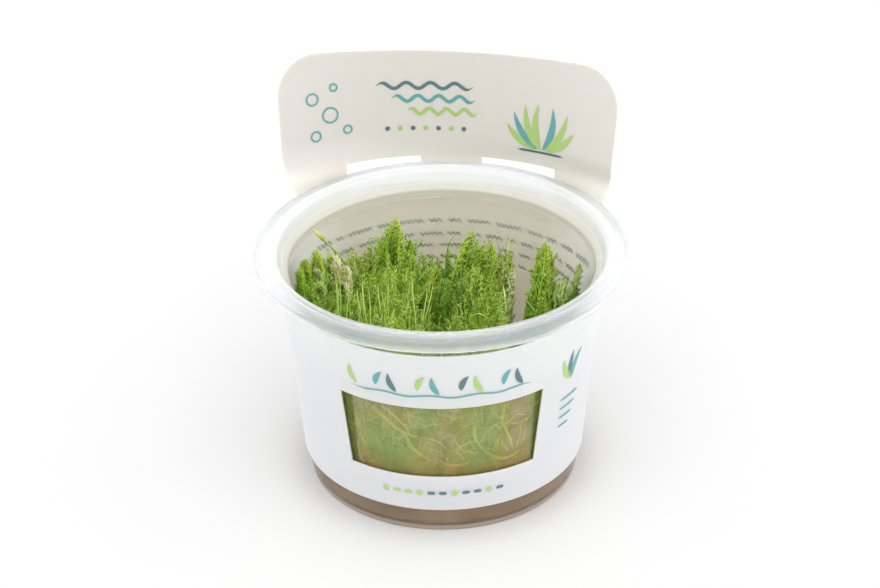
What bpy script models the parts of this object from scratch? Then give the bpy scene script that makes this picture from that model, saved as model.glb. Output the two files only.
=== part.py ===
"""Giant moss grown in a clear culture cup, with nutrient gel and a printed card sleeve.

The origin is the middle of the cup's foot, +Z is up and the card's header stands at the back, at +Y.
Lengths are in metres.
"""

import math

import bmesh
import bpy
import numpy as np
from mathutils import Vector

MM = 0.001

# Cup
RIM_RADIUS = 40.0 * MM
RIM_TOP = 53.5 * MM
BEAD_TOP = 53.9 * MM
SKIRT_LOW = 50.9 * MM
WALL = 0.9 * MM
FOOT_RADIUS = 29.78 * MM
TAPER = 0.085
SHOULDER = 49.2 * MM
FOOT_RECESS = 0.9 * MM
FLOOR_TOP = 1.8 * MM
RING_TOP = 0.85 * MM
RING_INNER = 25.9 * MM
CUP_SEGMENTS = 56

# Gaps between pieces that touch
GAP = 0.3 * MM

# Nutrient gel
GEL_TOP = 13.5 * MM
GEL_SEGMENTS = 40

# Card
CARD_THICK = 0.5 * MM
CARD_GAP = 0.35 * MM
SLEEVE_LOW = 6.3 * MM
SLEEVE_HIGH = 46.7 * MM
WINDOW_LOW = 15.2 * MM
WINDOW_HIGH = 33.5 * MM
WINDOW_TURN = math.radians(3.2)
WINDOW_HALF = math.radians(38.5)
WINDOW_FLARE = math.radians(1.05)
LIFT_START = 37.0 * MM
LIFT_END = 52.0 * MM
LIFT_FADE = 13.0 * MM
HEADER_TOP = 80.9 * MM
HEADER_HALF = 39.4 * MM
HEADER_CORNER = 9.4 * MM
HEADER_CURVE_LOW = 57.0 * MM
HEADER_CURVE_TOP = 106.0 * MM
HEADER_BACK_LOW = 38.15 * MM
HEADER_TWIST = math.radians(3.6)
TWIST_LOW = 53.5 * MM
TWIST_HIGH = 60.5 * MM
LEG_NARROW = 2.0 * MM
LEG_LOW = 48.0 * MM
LEG_HIGH = 60.0 * MM
SIDE_RISE = 2.3 * MM
SIDE_START = 28.0 * MM
SIDE_TURN = math.radians(108)
FRONT_TURN = math.radians(150)
RISE_TOP = 54.0 * MM
SLOT_HALF = 24.3 * MM
SLOT_LOW = 49.2 * MM
SLOT_HIGH = 55.6 * MM
SLOT_DROP = 0.45 * MM
NOTCH_INNER = 21.9 * MM
TAB_HALF = 7.0 * MM
TAB_LOW = 54.0 * MM

# Heights of the card's grid lines up to the slot's top, and shares of the way from there to its top edge
CARD_ROWS = [
    SLEEVE_LOW, WINDOW_LOW, WINDOW_HIGH, LIFT_START, 40.5 * MM, 43.8 * MM,
    SLEEVE_HIGH, SLOT_LOW, 51.6 * MM, TAB_LOW, SLOT_HIGH,
]
HEADER_SHARES = [0.35, 0.7, 1.0]
FRONT_COLUMNS = 12

# Moss
CLUMP_EDGE_X = 15.8 * MM
TUFT_EDGE_X = 19.4 * MM
MOSS_GAP = 0.5 * MM
MOSS_JITTER = 0.7 * MM
SHOOT_LEAST = 3.0 * MM
SHOOT_LEAN = 0.8 * MM
SHOOT_TAPER = ((0.15, 0.8), (0.6, 0.52), (1.0, 0.15))


def wall_radius(z):
    """Outer radius of the cup's tapered wall at height z."""
    return FOOT_RADIUS + TAPER * z


def inner_radius(z):
    """Inner radius of the cup's tapered wall at height z."""
    return wall_radius(z) - WALL


def smooth(t):
    """Eases from 0 to 1 as t goes from 0 to 1."""
    t = np.clip(t, 0.0, 1.0)
    return t * t * (3.0 - 2.0 * t)


def clear_scene():
    for old in list(bpy.data.objects):
        bpy.data.objects.remove(old, do_unlink=True)


def make_material(name, colour, roughness, alpha=1.0, transmission=0.0, ior=1.45):
    material = bpy.data.materials.new(name)
    material.use_nodes = True
    shader = material.node_tree.nodes["Principled BSDF"]
    shader.inputs["Base Color"].default_value = (*colour, 1.0)
    shader.inputs["Roughness"].default_value = roughness
    shader.inputs["Metallic"].default_value = 0.0
    shader.inputs["Alpha"].default_value = alpha
    shader.inputs["Transmission Weight"].default_value = transmission
    shader.inputs["IOR"].default_value = ior
    material.diffuse_color = (*colour, alpha)
    return material


def add_object(name, bm, material, smooth_angle=None):
    """Turns a bmesh into a named object with its own material."""
    mesh = bpy.data.meshes.new(name)
    bm.to_mesh(mesh)
    bm.free()
    mesh.materials.append(material)
    if smooth_angle is not None:
        mesh.shade_smooth()
        mesh.set_sharp_from_angle(angle=smooth_angle)
    piece = bpy.data.objects.new(name, mesh)
    bpy.context.collection.objects.link(piece)
    return piece


def arc(centre, radius, start, end, steps):
    """Points on an arc in the profile's plane, angles in degrees from +X towards +Z."""
    angles = np.radians(np.linspace(start, end, steps))
    return [(centre[0] + radius * math.cos(a), centre[1] + radius * math.sin(a)) for a in angles]


def turn_profile(profile, segments):
    """Spins a profile of (radius, height) points, whose ends lie on the Z axis, into a closed solid."""
    bm = bmesh.new()
    verts = [bm.verts.new((r, 0.0, z)) for r, z in profile]
    edges = [bm.edges.new(pair) for pair in zip(verts[:-1], verts[1:])]
    bmesh.ops.spin(
        bm, geom=verts + edges, cent=(0, 0, 0), axis=(0, 0, 1),
        angle=math.tau, steps=segments, use_duplicate=False,
    )
    bmesh.ops.remove_doubles(bm, verts=bm.verts, dist=1e-6)
    bmesh.ops.dissolve_degenerate(bm, edges=bm.edges, dist=1e-7)
    bmesh.ops.recalc_face_normals(bm, faces=bm.faces)
    return bm


def cup_profile():
    """The cup's section: recessed foot, tapered wall, shoulder, and a rim rolled out and down."""
    corner = 1.3 * MM
    foot_corner = wall_radius(corner)
    outside = [(0.0, FOOT_RECESS), (24.6 * MM, FOOT_RECESS), (25.3 * MM, 0.0)]
    outside += arc((foot_corner - corner, corner), corner, -90, 0, 4)
    outside += [
        (wall_radius(SHOULDER), SHOULDER),
        (35.35 * MM, 50.4 * MM),
        (35.75 * MM, 51.8 * MM),
        (36.6 * MM, RIM_TOP - WALL),
        (RIM_RADIUS - 1.4 * MM, RIM_TOP - WALL),
        (RIM_RADIUS - 0.8 * MM, RIM_TOP - 1.5 * MM),
        (RIM_RADIUS - 0.8 * MM, SKIRT_LOW),
        (RIM_RADIUS - 0.1 * MM, SKIRT_LOW),
    ]
    crown = arc((RIM_RADIUS - 1.0 * MM, RIM_TOP - 1.0 * MM), 1.0 * MM, 0, 90, 4)
    bead = [(37.5 * MM, RIM_TOP), (36.9 * MM, BEAD_TOP), (36.1 * MM, BEAD_TOP - 0.15 * MM)]
    inside = [
        (35.25 * MM, 52.8 * MM),
        (34.5 * MM, 50.75 * MM),
        (inner_radius(SHOULDER), SHOULDER + 0.35 * MM),
    ]
    round_in = 1.1 * MM
    centre = (inner_radius(RING_TOP + round_in) - round_in, RING_TOP + round_in)
    inside += arc(centre, round_in, 0, -90, 4)
    inside += [(RING_INNER, RING_TOP), (RING_INNER - 0.8 * MM, FLOOR_TOP), (0.0, FLOOR_TOP)]
    return outside + crown + bead + inside


def build_cup():
    material = make_material("clear_plastic", (0.86, 0.92, 0.91), 0.08, alpha=0.35, transmission=0.9, ior=1.5)
    return add_object("cup", turn_profile(cup_profile(), CUP_SEGMENTS), material, math.radians(30))


def build_gel():
    """A disc of set gel that fills the cup's bottom and the foot's ring, a little sunk in its middle."""
    low = RING_TOP + GAP
    bevel = 1.4 * MM
    profile = [
        (0.0, FLOOR_TOP + GAP),
        (RING_INNER - 0.6 * MM, FLOOR_TOP + GAP),
        (RING_INNER + 0.2 * MM, low),
        (inner_radius(low) - GAP - bevel, low),
    ]
    profile += [
        (inner_radius(low + 0.5 * bevel) - GAP - 0.3 * bevel, low + 0.35 * bevel),
        (inner_radius(low + bevel) - GAP, low + bevel),
        (inner_radius(GEL_TOP) - GAP, GEL_TOP),
        (inner_radius(GEL_TOP) - 2.2 * MM, GEL_TOP - 0.7 * MM),
        (0.0, GEL_TOP - 0.9 * MM),
    ]
    material = make_material("nutrient_gel", (0.42, 0.31, 0.20), 0.25, alpha=0.9, transmission=0.3, ior=1.34)
    return add_object("nutrient_gel", turn_profile(profile, GEL_SEGMENTS), material, math.radians(40))


def card_radius(z):
    """Radius of the sleeve's middle surface, a cone round the cup's wall."""
    return wall_radius(z) + CARD_GAP + CARD_THICK / 2


def card_point(turn, z):
    """A point of the card's middle surface.

    turn is the angle round the cup from the back, positive towards +X. Below the lift the card is the
    cone itself. Above it, the part behind the cup leans back and flattens from the cone's curve towards
    a gentle arc, whose radius grows with height, and the sides fade back into the cone. Over the rim the
    header is twisted a little about an upright line through its middle.
    """
    radius = card_radius(z)
    cone = Vector((radius * math.sin(turn), radius * math.cos(turn), z))
    lift = float(smooth((z - LIFT_START) / (LIFT_END - LIFT_START)))
    if lift == 0.0:
        return cone
    rise = max(0.0, (z - LIFT_END) / (HEADER_TOP - LIFT_END))
    back = HEADER_BACK_LOW + (RIM_RADIUS - CARD_THICK / 2 - HEADER_BACK_LOW) * rise
    curve = 1.0 / ((1.0 - rise) / HEADER_CURVE_LOW + rise / HEADER_CURVE_TOP)
    back = radius + (back - radius) * lift
    curve = 1.0 / ((1.0 - lift) / radius + lift / curve)
    along = turn * card_radius(SLEEVE_HIGH)
    bend = along / curve
    twist = HEADER_TWIST * float(smooth((z - TWIST_LOW) / (TWIST_HIGH - TWIST_LOW)))
    x, y = curve * math.sin(bend), curve * (math.cos(bend) - 1.0)
    header = Vector((
        x * math.cos(twist) + y * math.sin(twist),
        back + y * math.cos(twist) - x * math.sin(twist),
        z,
    ))
    side = float(smooth((abs(along) - HEADER_HALF) / LIFT_FADE))
    return header.lerp(cone, side)


def card_columns():
    """Turns of the card's upright grid lines, from the back round by +X to the back again."""
    reach = card_radius(SLEEVE_HIGH)
    corner = [HEADER_CORNER * math.sin(math.radians(a)) for a in (0, 22.5, 45, 67.5, 90)]
    half = [0.0, TAB_HALF, 12.0 * MM, 17.0 * MM, NOTCH_INNER, SLOT_HALF, 27.5 * MM]
    half += [HEADER_HALF - HEADER_CORNER + c for c in corner]
    right = [along / reach for along in half]
    left = [math.tau - turn for turn in reversed(right[1:])]
    stops = [right[-1], math.pi - WINDOW_TURN - WINDOW_HALF, math.pi - WINDOW_TURN + WINDOW_HALF, left[0]]
    front = []
    for start, end in zip(stops[:-1], stops[1:]):
        front += list(np.linspace(start, end, FRONT_COLUMNS + 1)[1:])
    return right + front[:-1] + left, stops[1:3]


def header_outline(along):
    """Height of the header's top edge at a distance from its middle, with its round corners."""
    past = abs(along) - (HEADER_HALF - HEADER_CORNER)
    past = min(max(past, 0.0), HEADER_CORNER)
    return HEADER_TOP - HEADER_CORNER + math.sqrt(HEADER_CORNER**2 - past**2)


def row_height(row, along):
    """Height of a row of the card's grid at a distance from the header's middle."""
    slot_high = SLOT_HIGH - SLOT_DROP * min(1.0, (along / SLOT_HALF) ** 2)
    if row >= len(CARD_ROWS):
        share = HEADER_SHARES[row - len(CARD_ROWS)]
        return slot_high + share * (header_outline(along) - slot_high)
    return slot_high if CARD_ROWS[row] == SLOT_HIGH else CARD_ROWS[row]


def shifted(turn, z):
    """Moves a point of the flat card: the header's legs narrow downwards and the sleeve's sides rise.

    The narrowing is full at the header's side edge and fades out on both sides of it. The rise is full at
    the sleeve's top edge and fades out above and below it, and towards the slot and the front.
    """
    reach = card_radius(SLEEVE_HIGH)
    along = abs(turn) * reach
    near_edge = float(smooth((along - SIDE_START) / (HEADER_HALF - SIDE_START)))
    below = (z - LIFT_START) / (SLEEVE_HIGH - LIFT_START)
    above = (RISE_TOP - z) / (RISE_TOP - SLEEVE_HIGH)
    narrow = near_edge * (1.0 - float(smooth((along - HEADER_HALF) / LIFT_FADE)))
    narrow *= LEG_NARROW * float(smooth((LEG_HIGH - z) / (LEG_HIGH - LEG_LOW))) * float(smooth(below))
    rise = near_edge * (1.0 - float(smooth((abs(turn) - SIDE_TURN) / (FRONT_TURN - SIDE_TURN))))
    rise *= SIDE_RISE * max(0.0, min(below, above))
    return turn - math.copysign(narrow / reach, turn), z + rise


def cell_kept(row, turn, along, window):
    """Says whether a cell of the card's grid is card, and not a hole or air."""
    low = CARD_ROWS[row] if row < len(CARD_ROWS) else HEADER_TOP
    away = abs(along)
    if low >= SLEEVE_HIGH and away > HEADER_HALF:
        return False
    if low == WINDOW_LOW and window[0] < turn < window[1]:
        return False
    if low == SLEEVE_HIGH and NOTCH_INNER < away < SLOT_HALF:
        return False
    if SLOT_LOW <= low < TAB_LOW and away < SLOT_HALF:
        return False
    return not (low == TAB_LOW and TAB_HALF < away < SLOT_HALF)


def build_card():
    """The die-cut card: a sleeve with a window, and a header with a slot that the rim passes through."""
    columns, window = card_columns()
    reach = card_radius(SLEEVE_HIGH)
    bm = bmesh.new()
    grid = {}

    def vertex(row, column):
        column %= len(columns)
        if (row, column) not in grid:
            turn = columns[column]
            signed = turn if turn <= math.pi else turn - math.tau
            z = row_height(row, signed * reach)
            if turn in window and WINDOW_LOW <= z <= WINDOW_HIGH:
                side = 1.0 if turn == window[1] else -1.0
                middle = (WINDOW_LOW + WINDOW_HIGH) / 2
                signed += side * WINDOW_FLARE * (z - middle) / (WINDOW_HIGH - middle)
            grid[row, column] = bm.verts.new(card_point(*shifted(signed, z)))
        return grid[row, column]

    for row in range(len(CARD_ROWS) + len(HEADER_SHARES) - 1):
        for column, turn in enumerate(columns):
            following = columns[column + 1] if column + 1 < len(columns) else math.tau
            middle = (turn + following) / 2
            along = (middle if middle < math.pi else middle - math.tau) * reach
            if cell_kept(row, middle, along, window):
                bm.faces.new([
                    vertex(row, column), vertex(row + 1, column),
                    vertex(row + 1, column + 1), vertex(row, column + 1),
                ])
    bmesh.ops.triangulate(bm, faces=bm.faces)
    material = make_material("printed_card", (0.84, 0.83, 0.80), 0.55)
    card = add_object("card_sleeve", bm, material, math.radians(35))
    solid = card.modifiers.new("thickness", "SOLIDIFY")
    solid.thickness = CARD_THICK
    solid.offset = 0.0
    solid.use_even_offset = True
    return card


def moss_solid(centre, outline, height, tips, rings, segments, seed):
    """A clump of moss: a rounded body with shoots drawn up out of every other face of its top.

    outline gives the plan radius in a direction from the centre, height the body's top, and tips
    the height that a shoot reaches at a place in plan.
    """
    rng = np.random.default_rng(seed)
    base = GEL_TOP + GAP
    bm = bmesh.new()

    def place(share, k, z=None):
        angle = math.tau * k / segments
        reach = share * outline(angle)
        x = centre[0] + reach * math.cos(angle)
        y = centre[1] + reach * math.sin(angle)
        if share < 1.0 and z is None:
            x += rng.uniform(-1.0, 1.0) * MOSS_JITTER
            y += rng.uniform(-1.0, 1.0) * MOSS_JITTER
        return bm.verts.new((x, y, height(x, y) if z is None else z))

    middle = bm.verts.new((*centre, height(*centre)))
    foot = bm.verts.new((*centre, base))
    loops = [[place(share, k) for k in range(segments)] for share in rings]
    floor = [place(0.97, k, base) for k in range(segments)]
    tops = []
    for k in range(segments):
        n = (k + 1) % segments
        bm.faces.new([middle, loops[0][k], loops[0][n]])
        for ring, (inner, outer) in enumerate(zip(loops[:-1], loops[1:])):
            face = bm.faces.new([inner[k], outer[k], outer[n], inner[n]])
            if (ring + k) % 2 == 0:
                tops.append(face)
        bm.faces.new([loops[-1][k], floor[k], floor[n], loops[-1][n]])
        bm.faces.new([foot, floor[n], floor[k]])
    bmesh.ops.recalc_face_normals(bm, faces=bm.faces)
    for face in tops:
        draw_shoot(bm, face, tips, rng)
    bmesh.ops.triangulate(bm, faces=bm.faces)
    return bm


def draw_shoot(bm, face, tips, rng):
    """Draws one face of the body up into a tapering shoot that leans a little."""
    start = face.calc_center_median()
    rise = tips(start.x, start.y) * (1.0 - 0.08 * rng.random()) - start.z
    if rise < SHOOT_LEAST:
        return
    lean = Vector((rng.normal(0.0, SHOOT_LEAN), rng.normal(0.0, SHOOT_LEAN), 0.0))
    corners = [vert.co - start for vert in face.verts]
    for share, width in SHOOT_TAPER:
        face = bmesh.ops.extrude_discrete_faces(bm, faces=[face])["faces"][0]
        middle = start + lean * share**2 + Vector((0, 0, rise * share))
        for vert, corner in zip(face.verts, corners):
            flat = Vector((corner.x, corner.y, corner.z * (1.0 - share)))
            vert.co = middle + flat * width


def cup_outline(centre, edge_x, side):
    """Plan radius from a centre to the cup's inner wall, cut straight at edge_x on one side."""
    limit = inner_radius(18.0 * MM) - MOSS_GAP

    def radius(angle):
        cosine, sine = math.cos(angle), math.sin(angle)
        along = centre[0] * cosine + centre[1] * sine
        reach = -along + math.sqrt(along**2 - centre[0] ** 2 - centre[1] ** 2 + limit**2)
        if cosine * side > 1e-6:
            reach = min(reach, (edge_x - centre[0]) / cosine)
        return reach

    return radius


def clump_height(x, y):
    """Top of the main clump's body: high in the middle and front, low by the back wall."""
    back = 1.0 - float(smooth((y - 6.0 * MM) / (18.0 * MM)))
    right = 1.0 - float(smooth((x - 9.0 * MM) / (7.0 * MM)))
    left = float(smooth((x + 31.0 * MM) / (9.0 * MM)))
    return (22.0 + 16.0 * back * (0.35 + 0.65 * right) * (0.5 + 0.5 * left)) * MM


def clump_tips(x, y):
    """Reach of the main clump's shoots, tallest at one frond behind its middle and lower in front."""
    slope = float(smooth((y + 30.0 * MM) / (34.0 * MM)))
    back = 1.0 - float(smooth((y - 14.0 * MM) / (13.0 * MM)))
    left = float(smooth((x + 33.0 * MM) / (16.0 * MM)))
    peak = math.exp(-((x + 9.0 * MM) ** 2 + (y - 12.0 * MM) ** 2) / (9.0 * MM) ** 2)
    return (31.0 + (7.5 + 7.0 * slope) * back * (0.85 + 0.15 * left) + 4.5 * peak) * MM


def tuft_height(x, y):
    """Top of the side tuft's body, highest in its middle."""
    away = math.hypot(x - 24.5 * MM, (y - 3.0 * MM) / 2.0)
    return (20.0 + 14.0 * math.exp(-((away / (6.0 * MM)) ** 2))) * MM


def tuft_tips(x, y):
    """Reach of the side tuft's shoots, tallest on its left."""
    peak = math.exp(-((x - 22.5 * MM) ** 2 + (y - 7.0 * MM) ** 2) / (6.5 * MM) ** 2)
    right = math.exp(-((x - 29.5 * MM) ** 2 + (y - 7.0 * MM) ** 2) / (5.0 * MM) ** 2)
    return (34.0 + 16.0 * peak + 9.0 * right * (1.0 - peak)) * MM


def build_moss():
    """The moss stands on the gel as a wide main clump and a narrow tuft beside it."""
    centre = (-4.0 * MM, -1.0 * MM)
    clump = moss_solid(
        centre, cup_outline(centre, CLUMP_EDGE_X, 1), clump_height, clump_tips,
        rings=(0.1, 0.3, 0.5, 0.68, 0.85, 1.0), segments=24, seed=11,
    )
    add_object("moss_clump", clump, make_material("moss_green", (0.20, 0.33, 0.05), 0.6))
    centre = (24.2 * MM, 1.0 * MM)
    tuft = moss_solid(
        centre, cup_outline(centre, TUFT_EDGE_X, -1), tuft_height, tuft_tips,
        rings=(0.3, 0.65, 1.0), segments=14, seed=5,
    )
    add_object("moss_tuft", tuft, make_material("moss_tuft_green", (0.17, 0.30, 0.04), 0.6))


def main():
    clear_scene()
    build_cup()
    build_gel()
    build_moss()
    build_card()


main()
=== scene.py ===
"""Giant moss in its culture cup: the looks, built round the packed solids."""
# %% [markdown]
# A cup of tissue-cultured moss has five bodies: a clear cup, the gel in it, two clumps of moss and a card.
# Their plain solids are loaded first and stay where they are, because everything below is fitted to them.
# Each is then replaced by surfaces with the real one's detail. They come from formulas rather than from
# modelling by hand, so that a change of one measure carries through to all that rests on it.

# %% Load the fixed frame
import math

import bpy
import numpy as np
from mathutils import Matrix, Vector


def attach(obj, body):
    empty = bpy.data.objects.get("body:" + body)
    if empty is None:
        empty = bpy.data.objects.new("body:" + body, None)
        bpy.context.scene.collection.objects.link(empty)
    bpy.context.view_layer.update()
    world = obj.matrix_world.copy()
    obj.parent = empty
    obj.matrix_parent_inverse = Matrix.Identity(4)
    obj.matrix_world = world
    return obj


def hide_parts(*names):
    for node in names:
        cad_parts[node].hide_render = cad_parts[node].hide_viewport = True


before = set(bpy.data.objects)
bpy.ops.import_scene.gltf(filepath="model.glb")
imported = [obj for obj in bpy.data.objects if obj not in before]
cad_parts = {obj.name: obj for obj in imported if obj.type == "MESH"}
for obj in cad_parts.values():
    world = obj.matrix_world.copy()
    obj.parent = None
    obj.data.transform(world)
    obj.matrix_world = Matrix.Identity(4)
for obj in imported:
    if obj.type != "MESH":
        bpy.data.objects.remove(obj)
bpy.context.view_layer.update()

print("nodes:", sorted(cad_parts))

# %% [markdown]
# Every surface below is worked out in millimetres, because the object is small enough to hold in a hand,
# and one helper turns it into a Blender mesh in metres. A mesh made from whole numpy arrays is quick,
# even with a hundred thousand leaves, where a loop over vertices would take minutes.

# %% Helpers that turn arrays into meshes
MM = 0.001
TURN = 2.0 * np.pi


def grid_faces(rows, columns, wrap=False):
    """Quads of a grid of rows by columns points: each joins a point to its neighbours one on and one up."""
    r, c = np.meshgrid(np.arange(rows - 1), np.arange(columns if wrap else columns - 1), indexing="ij")
    n = (c + 1) % columns
    quads = np.stack([r * columns + c, r * columns + n, (r + 1) * columns + n, (r + 1) * columns + c], -1)
    return quads.reshape(-1, 4)


def split_quads(quads):
    """Cuts each quad into two triangles along its first diagonal."""
    return np.concatenate([quads[:, [0, 1, 2]], quads[:, [0, 2, 3]]])


def facing_out(points, triangles):
    """Turns all triangles over if the solid's signed volume, summed over them, is negative."""
    a, b, c = (points[triangles[:, k]] for k in range(3))
    return triangles if np.einsum("ij,ij->", a, np.cross(b, c)) > 0 else triangles[:, ::-1]


def make_piece(name, points, triangles, material, colours=None, sharp=None):
    """Puts points (mm) and triangles into a new mesh object that rides on the part.

    Points that no triangle uses are dropped first. The surface is shaded smooth, except across edges where
    it turns by more than the sharp angle in degrees, if one is given.
    """
    mesh = bpy.data.meshes.new(name)
    used, triangles = np.unique(triangles, return_inverse=True)
    points, triangles = points[used], triangles.reshape(-1, 3).astype(np.int32)
    colours = None if colours is None else colours[used]
    mesh.vertices.add(len(points))
    mesh.vertices.foreach_set("co", np.asarray(points, np.float32).ravel() * MM)
    mesh.loops.add(triangles.size)
    mesh.loops.foreach_set("vertex_index", triangles.ravel())
    mesh.polygons.add(len(triangles))
    mesh.polygons.foreach_set("loop_start", np.arange(0, triangles.size, 3, dtype=np.int32))
    mesh.update(calc_edges=True)
    mesh.polygons.foreach_set("use_smooth", np.full(len(triangles), True))
    if sharp is not None:
        mesh.set_sharp_from_angle(angle=math.radians(sharp))
    if colours is not None:
        layer = mesh.attributes.new("tint", "FLOAT_COLOR", "POINT")
        rgba = np.ones((len(points), 4), np.float32)
        rgba[:, :3] = colours
        layer.data.foreach_set("color", rgba.ravel())
    mesh.materials.append(material)
    piece = bpy.data.objects.new(name, mesh)
    bpy.context.scene.collection.objects.link(piece)
    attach(piece, "root")
    print(name, "has", len(points), "points and", len(triangles), "triangles")
    return piece


def bar_faces(rings):
    """Triangles of a closed bar whose rings have four points each: its four sides and a cap at both ends."""
    last = 4 * rings - 4
    caps = np.array([[3, 2, 1, 0], [last, last + 1, last + 2, last + 3]])
    return split_quads(np.vstack([grid_faces(rings, 4, wrap=True), caps]))


def unit(vectors):
    """Divides each vector by its length, to which a tiny number is added against division by nothing."""
    return vectors / (np.linalg.norm(vectors, axis=-1, keepdims=True) + 1e-9)


def smooth_step(t):
    """Eases from 0 to 1: three times the square less twice the cube of t, held within 0 and 1."""
    t = np.clip(t, 0.0, 1.0)
    return t * t * (3.0 - 2.0 * t)


def blend(first, second, share):
    """The first value, and a share of the way from it to the second."""
    return np.asarray(first) + share * (np.asarray(second) - np.asarray(first))


print("a grid of 3 by 4 points has", len(grid_faces(3, 4)), "quads")

# %% [markdown]
# The camera comes first, because the moss is combed to match what it sees.
# The photograph looks down at the cup by about thirty degrees from half a metre, with a longish lens.
# Its place was found by matching the rim, the sleeve's edges and the foot as circles in perspective.

# %% Camera
CAMERA_DISTANCE = 500.0
CAMERA_RISE = math.radians(30.4)
CAMERA_ROUND = math.radians(3.9)
CAMERA_ROLL = math.radians(-0.75)
CAMERA_AIM = Vector((-0.44, 0.0, 41.34))
FOCAL_PIXELS = 2307.0
IMAGE_WIDTH, IMAGE_HEIGHT = 880, 588
SENSOR = 36.0

sight = Vector((0.0, math.cos(CAMERA_RISE), -math.sin(CAMERA_RISE)))
seen_up = Vector((0.0, math.sin(CAMERA_RISE), math.cos(CAMERA_RISE)))
turn_to_part = Matrix.Rotation(CAMERA_ROUND, 3, "Z")
camera_place = CAMERA_AIM - CAMERA_DISTANCE * sight

camera_data = bpy.data.cameras.new("camera")
camera_data.sensor_width = SENSOR
camera_data.lens = FOCAL_PIXELS * SENSOR / IMAGE_WIDTH
camera_data.clip_start = 0.05
camera_data.clip_end = 20.0
camera = bpy.data.objects.new("camera", camera_data)
bpy.context.scene.collection.objects.link(camera)
facing = Matrix((Vector((1, 0, 0)), seen_up, -sight)).transposed()
roll = Matrix.Rotation(CAMERA_ROLL, 3, "Z")
camera_turn = (turn_to_part @ facing @ roll).to_4x4()
camera.matrix_world = Matrix.Translation(turn_to_part @ camera_place * MM) @ camera_turn
bpy.context.scene.camera = camera
print("camera lens in mm:", round(camera_data.lens, 1))

# %% [markdown]
# A few shoots give the photograph its outline, and they are placed by the pixels where they are seen. For
# that the camera's sums are run both ways: from a pixel and a depth to a place in the cup, and back. Blender
# could cast a ray through the camera instead, but not for a whole array of pixels at once.

# %% From pixels to places and back
def at_pixel(u, v, depth):
    """Points (mm, part's frame) seen at pixels u, v whose depths behind the cup's axis are given.

    A pixel gives a ray from the camera. The ray is followed to the upright plane at the depth, in the frame
    that is turned with the camera, and the point is then turned to the part's frame.
    """
    u, v, depth = np.broadcast_arrays(*(np.asarray(value, float) for value in (u, v, depth)))
    x, y = u - IMAGE_WIDTH / 2, v - IMAGE_HEIGHT / 2
    c, s = math.cos(CAMERA_ROLL), math.sin(CAMERA_ROLL)
    right, down = (c * x + s * y)[..., None], (c * y - s * x)[..., None]
    ray = FOCAL_PIXELS * np.array(sight) + right * np.array([1.0, 0.0, 0.0]) - down * np.array(seen_up)
    point = np.array(camera_place) + ray * ((depth - camera_place.y) / ray[..., 1])[..., None]
    return point @ np.array(turn_to_part).T


def to_pixel(points):
    """The other way round: the pixels u, v at which points are seen, and their depths behind the axis."""
    own = np.asarray(points) @ np.array(turn_to_part)
    away = own - np.array(camera_place)
    deep = away @ np.array(sight)
    x, y = FOCAL_PIXELS * away[..., 0] / deep, -FOCAL_PIXELS * (away @ np.array(seen_up)) / deep
    c, s = math.cos(CAMERA_ROLL), math.sin(CAMERA_ROLL)
    return IMAGE_WIDTH / 2 + c * x - s * y, IMAGE_HEIGHT / 2 + s * x + c * y, own[..., 1]


print("the cup's foot is seen at pixel", [round(float(value)) for value in to_pixel((0.0, 0.0, 0.0))[:2]])

# %% [markdown]
# Materials are node trees. A small helper keeps them readable: it makes a Principled surface, sets its
# plain numbers on the shader's own sockets, and leaves room for a colour pattern and a bump.

# %% Material helpers
def add_node(tree, kind, inputs=None, **settings):
    """Adds a shader node with its settings, and feeds each input by a link or with a plain value."""
    made = tree.nodes.new("ShaderNode" + kind)
    for key, value in settings.items():
        setattr(made, key, value)
    for key, value in (inputs or {}).items():
        if isinstance(value, bpy.types.NodeSocket):
            tree.links.new(value, made.inputs[key])
        else:
            made.inputs[key].default_value = value
    return made


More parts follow.
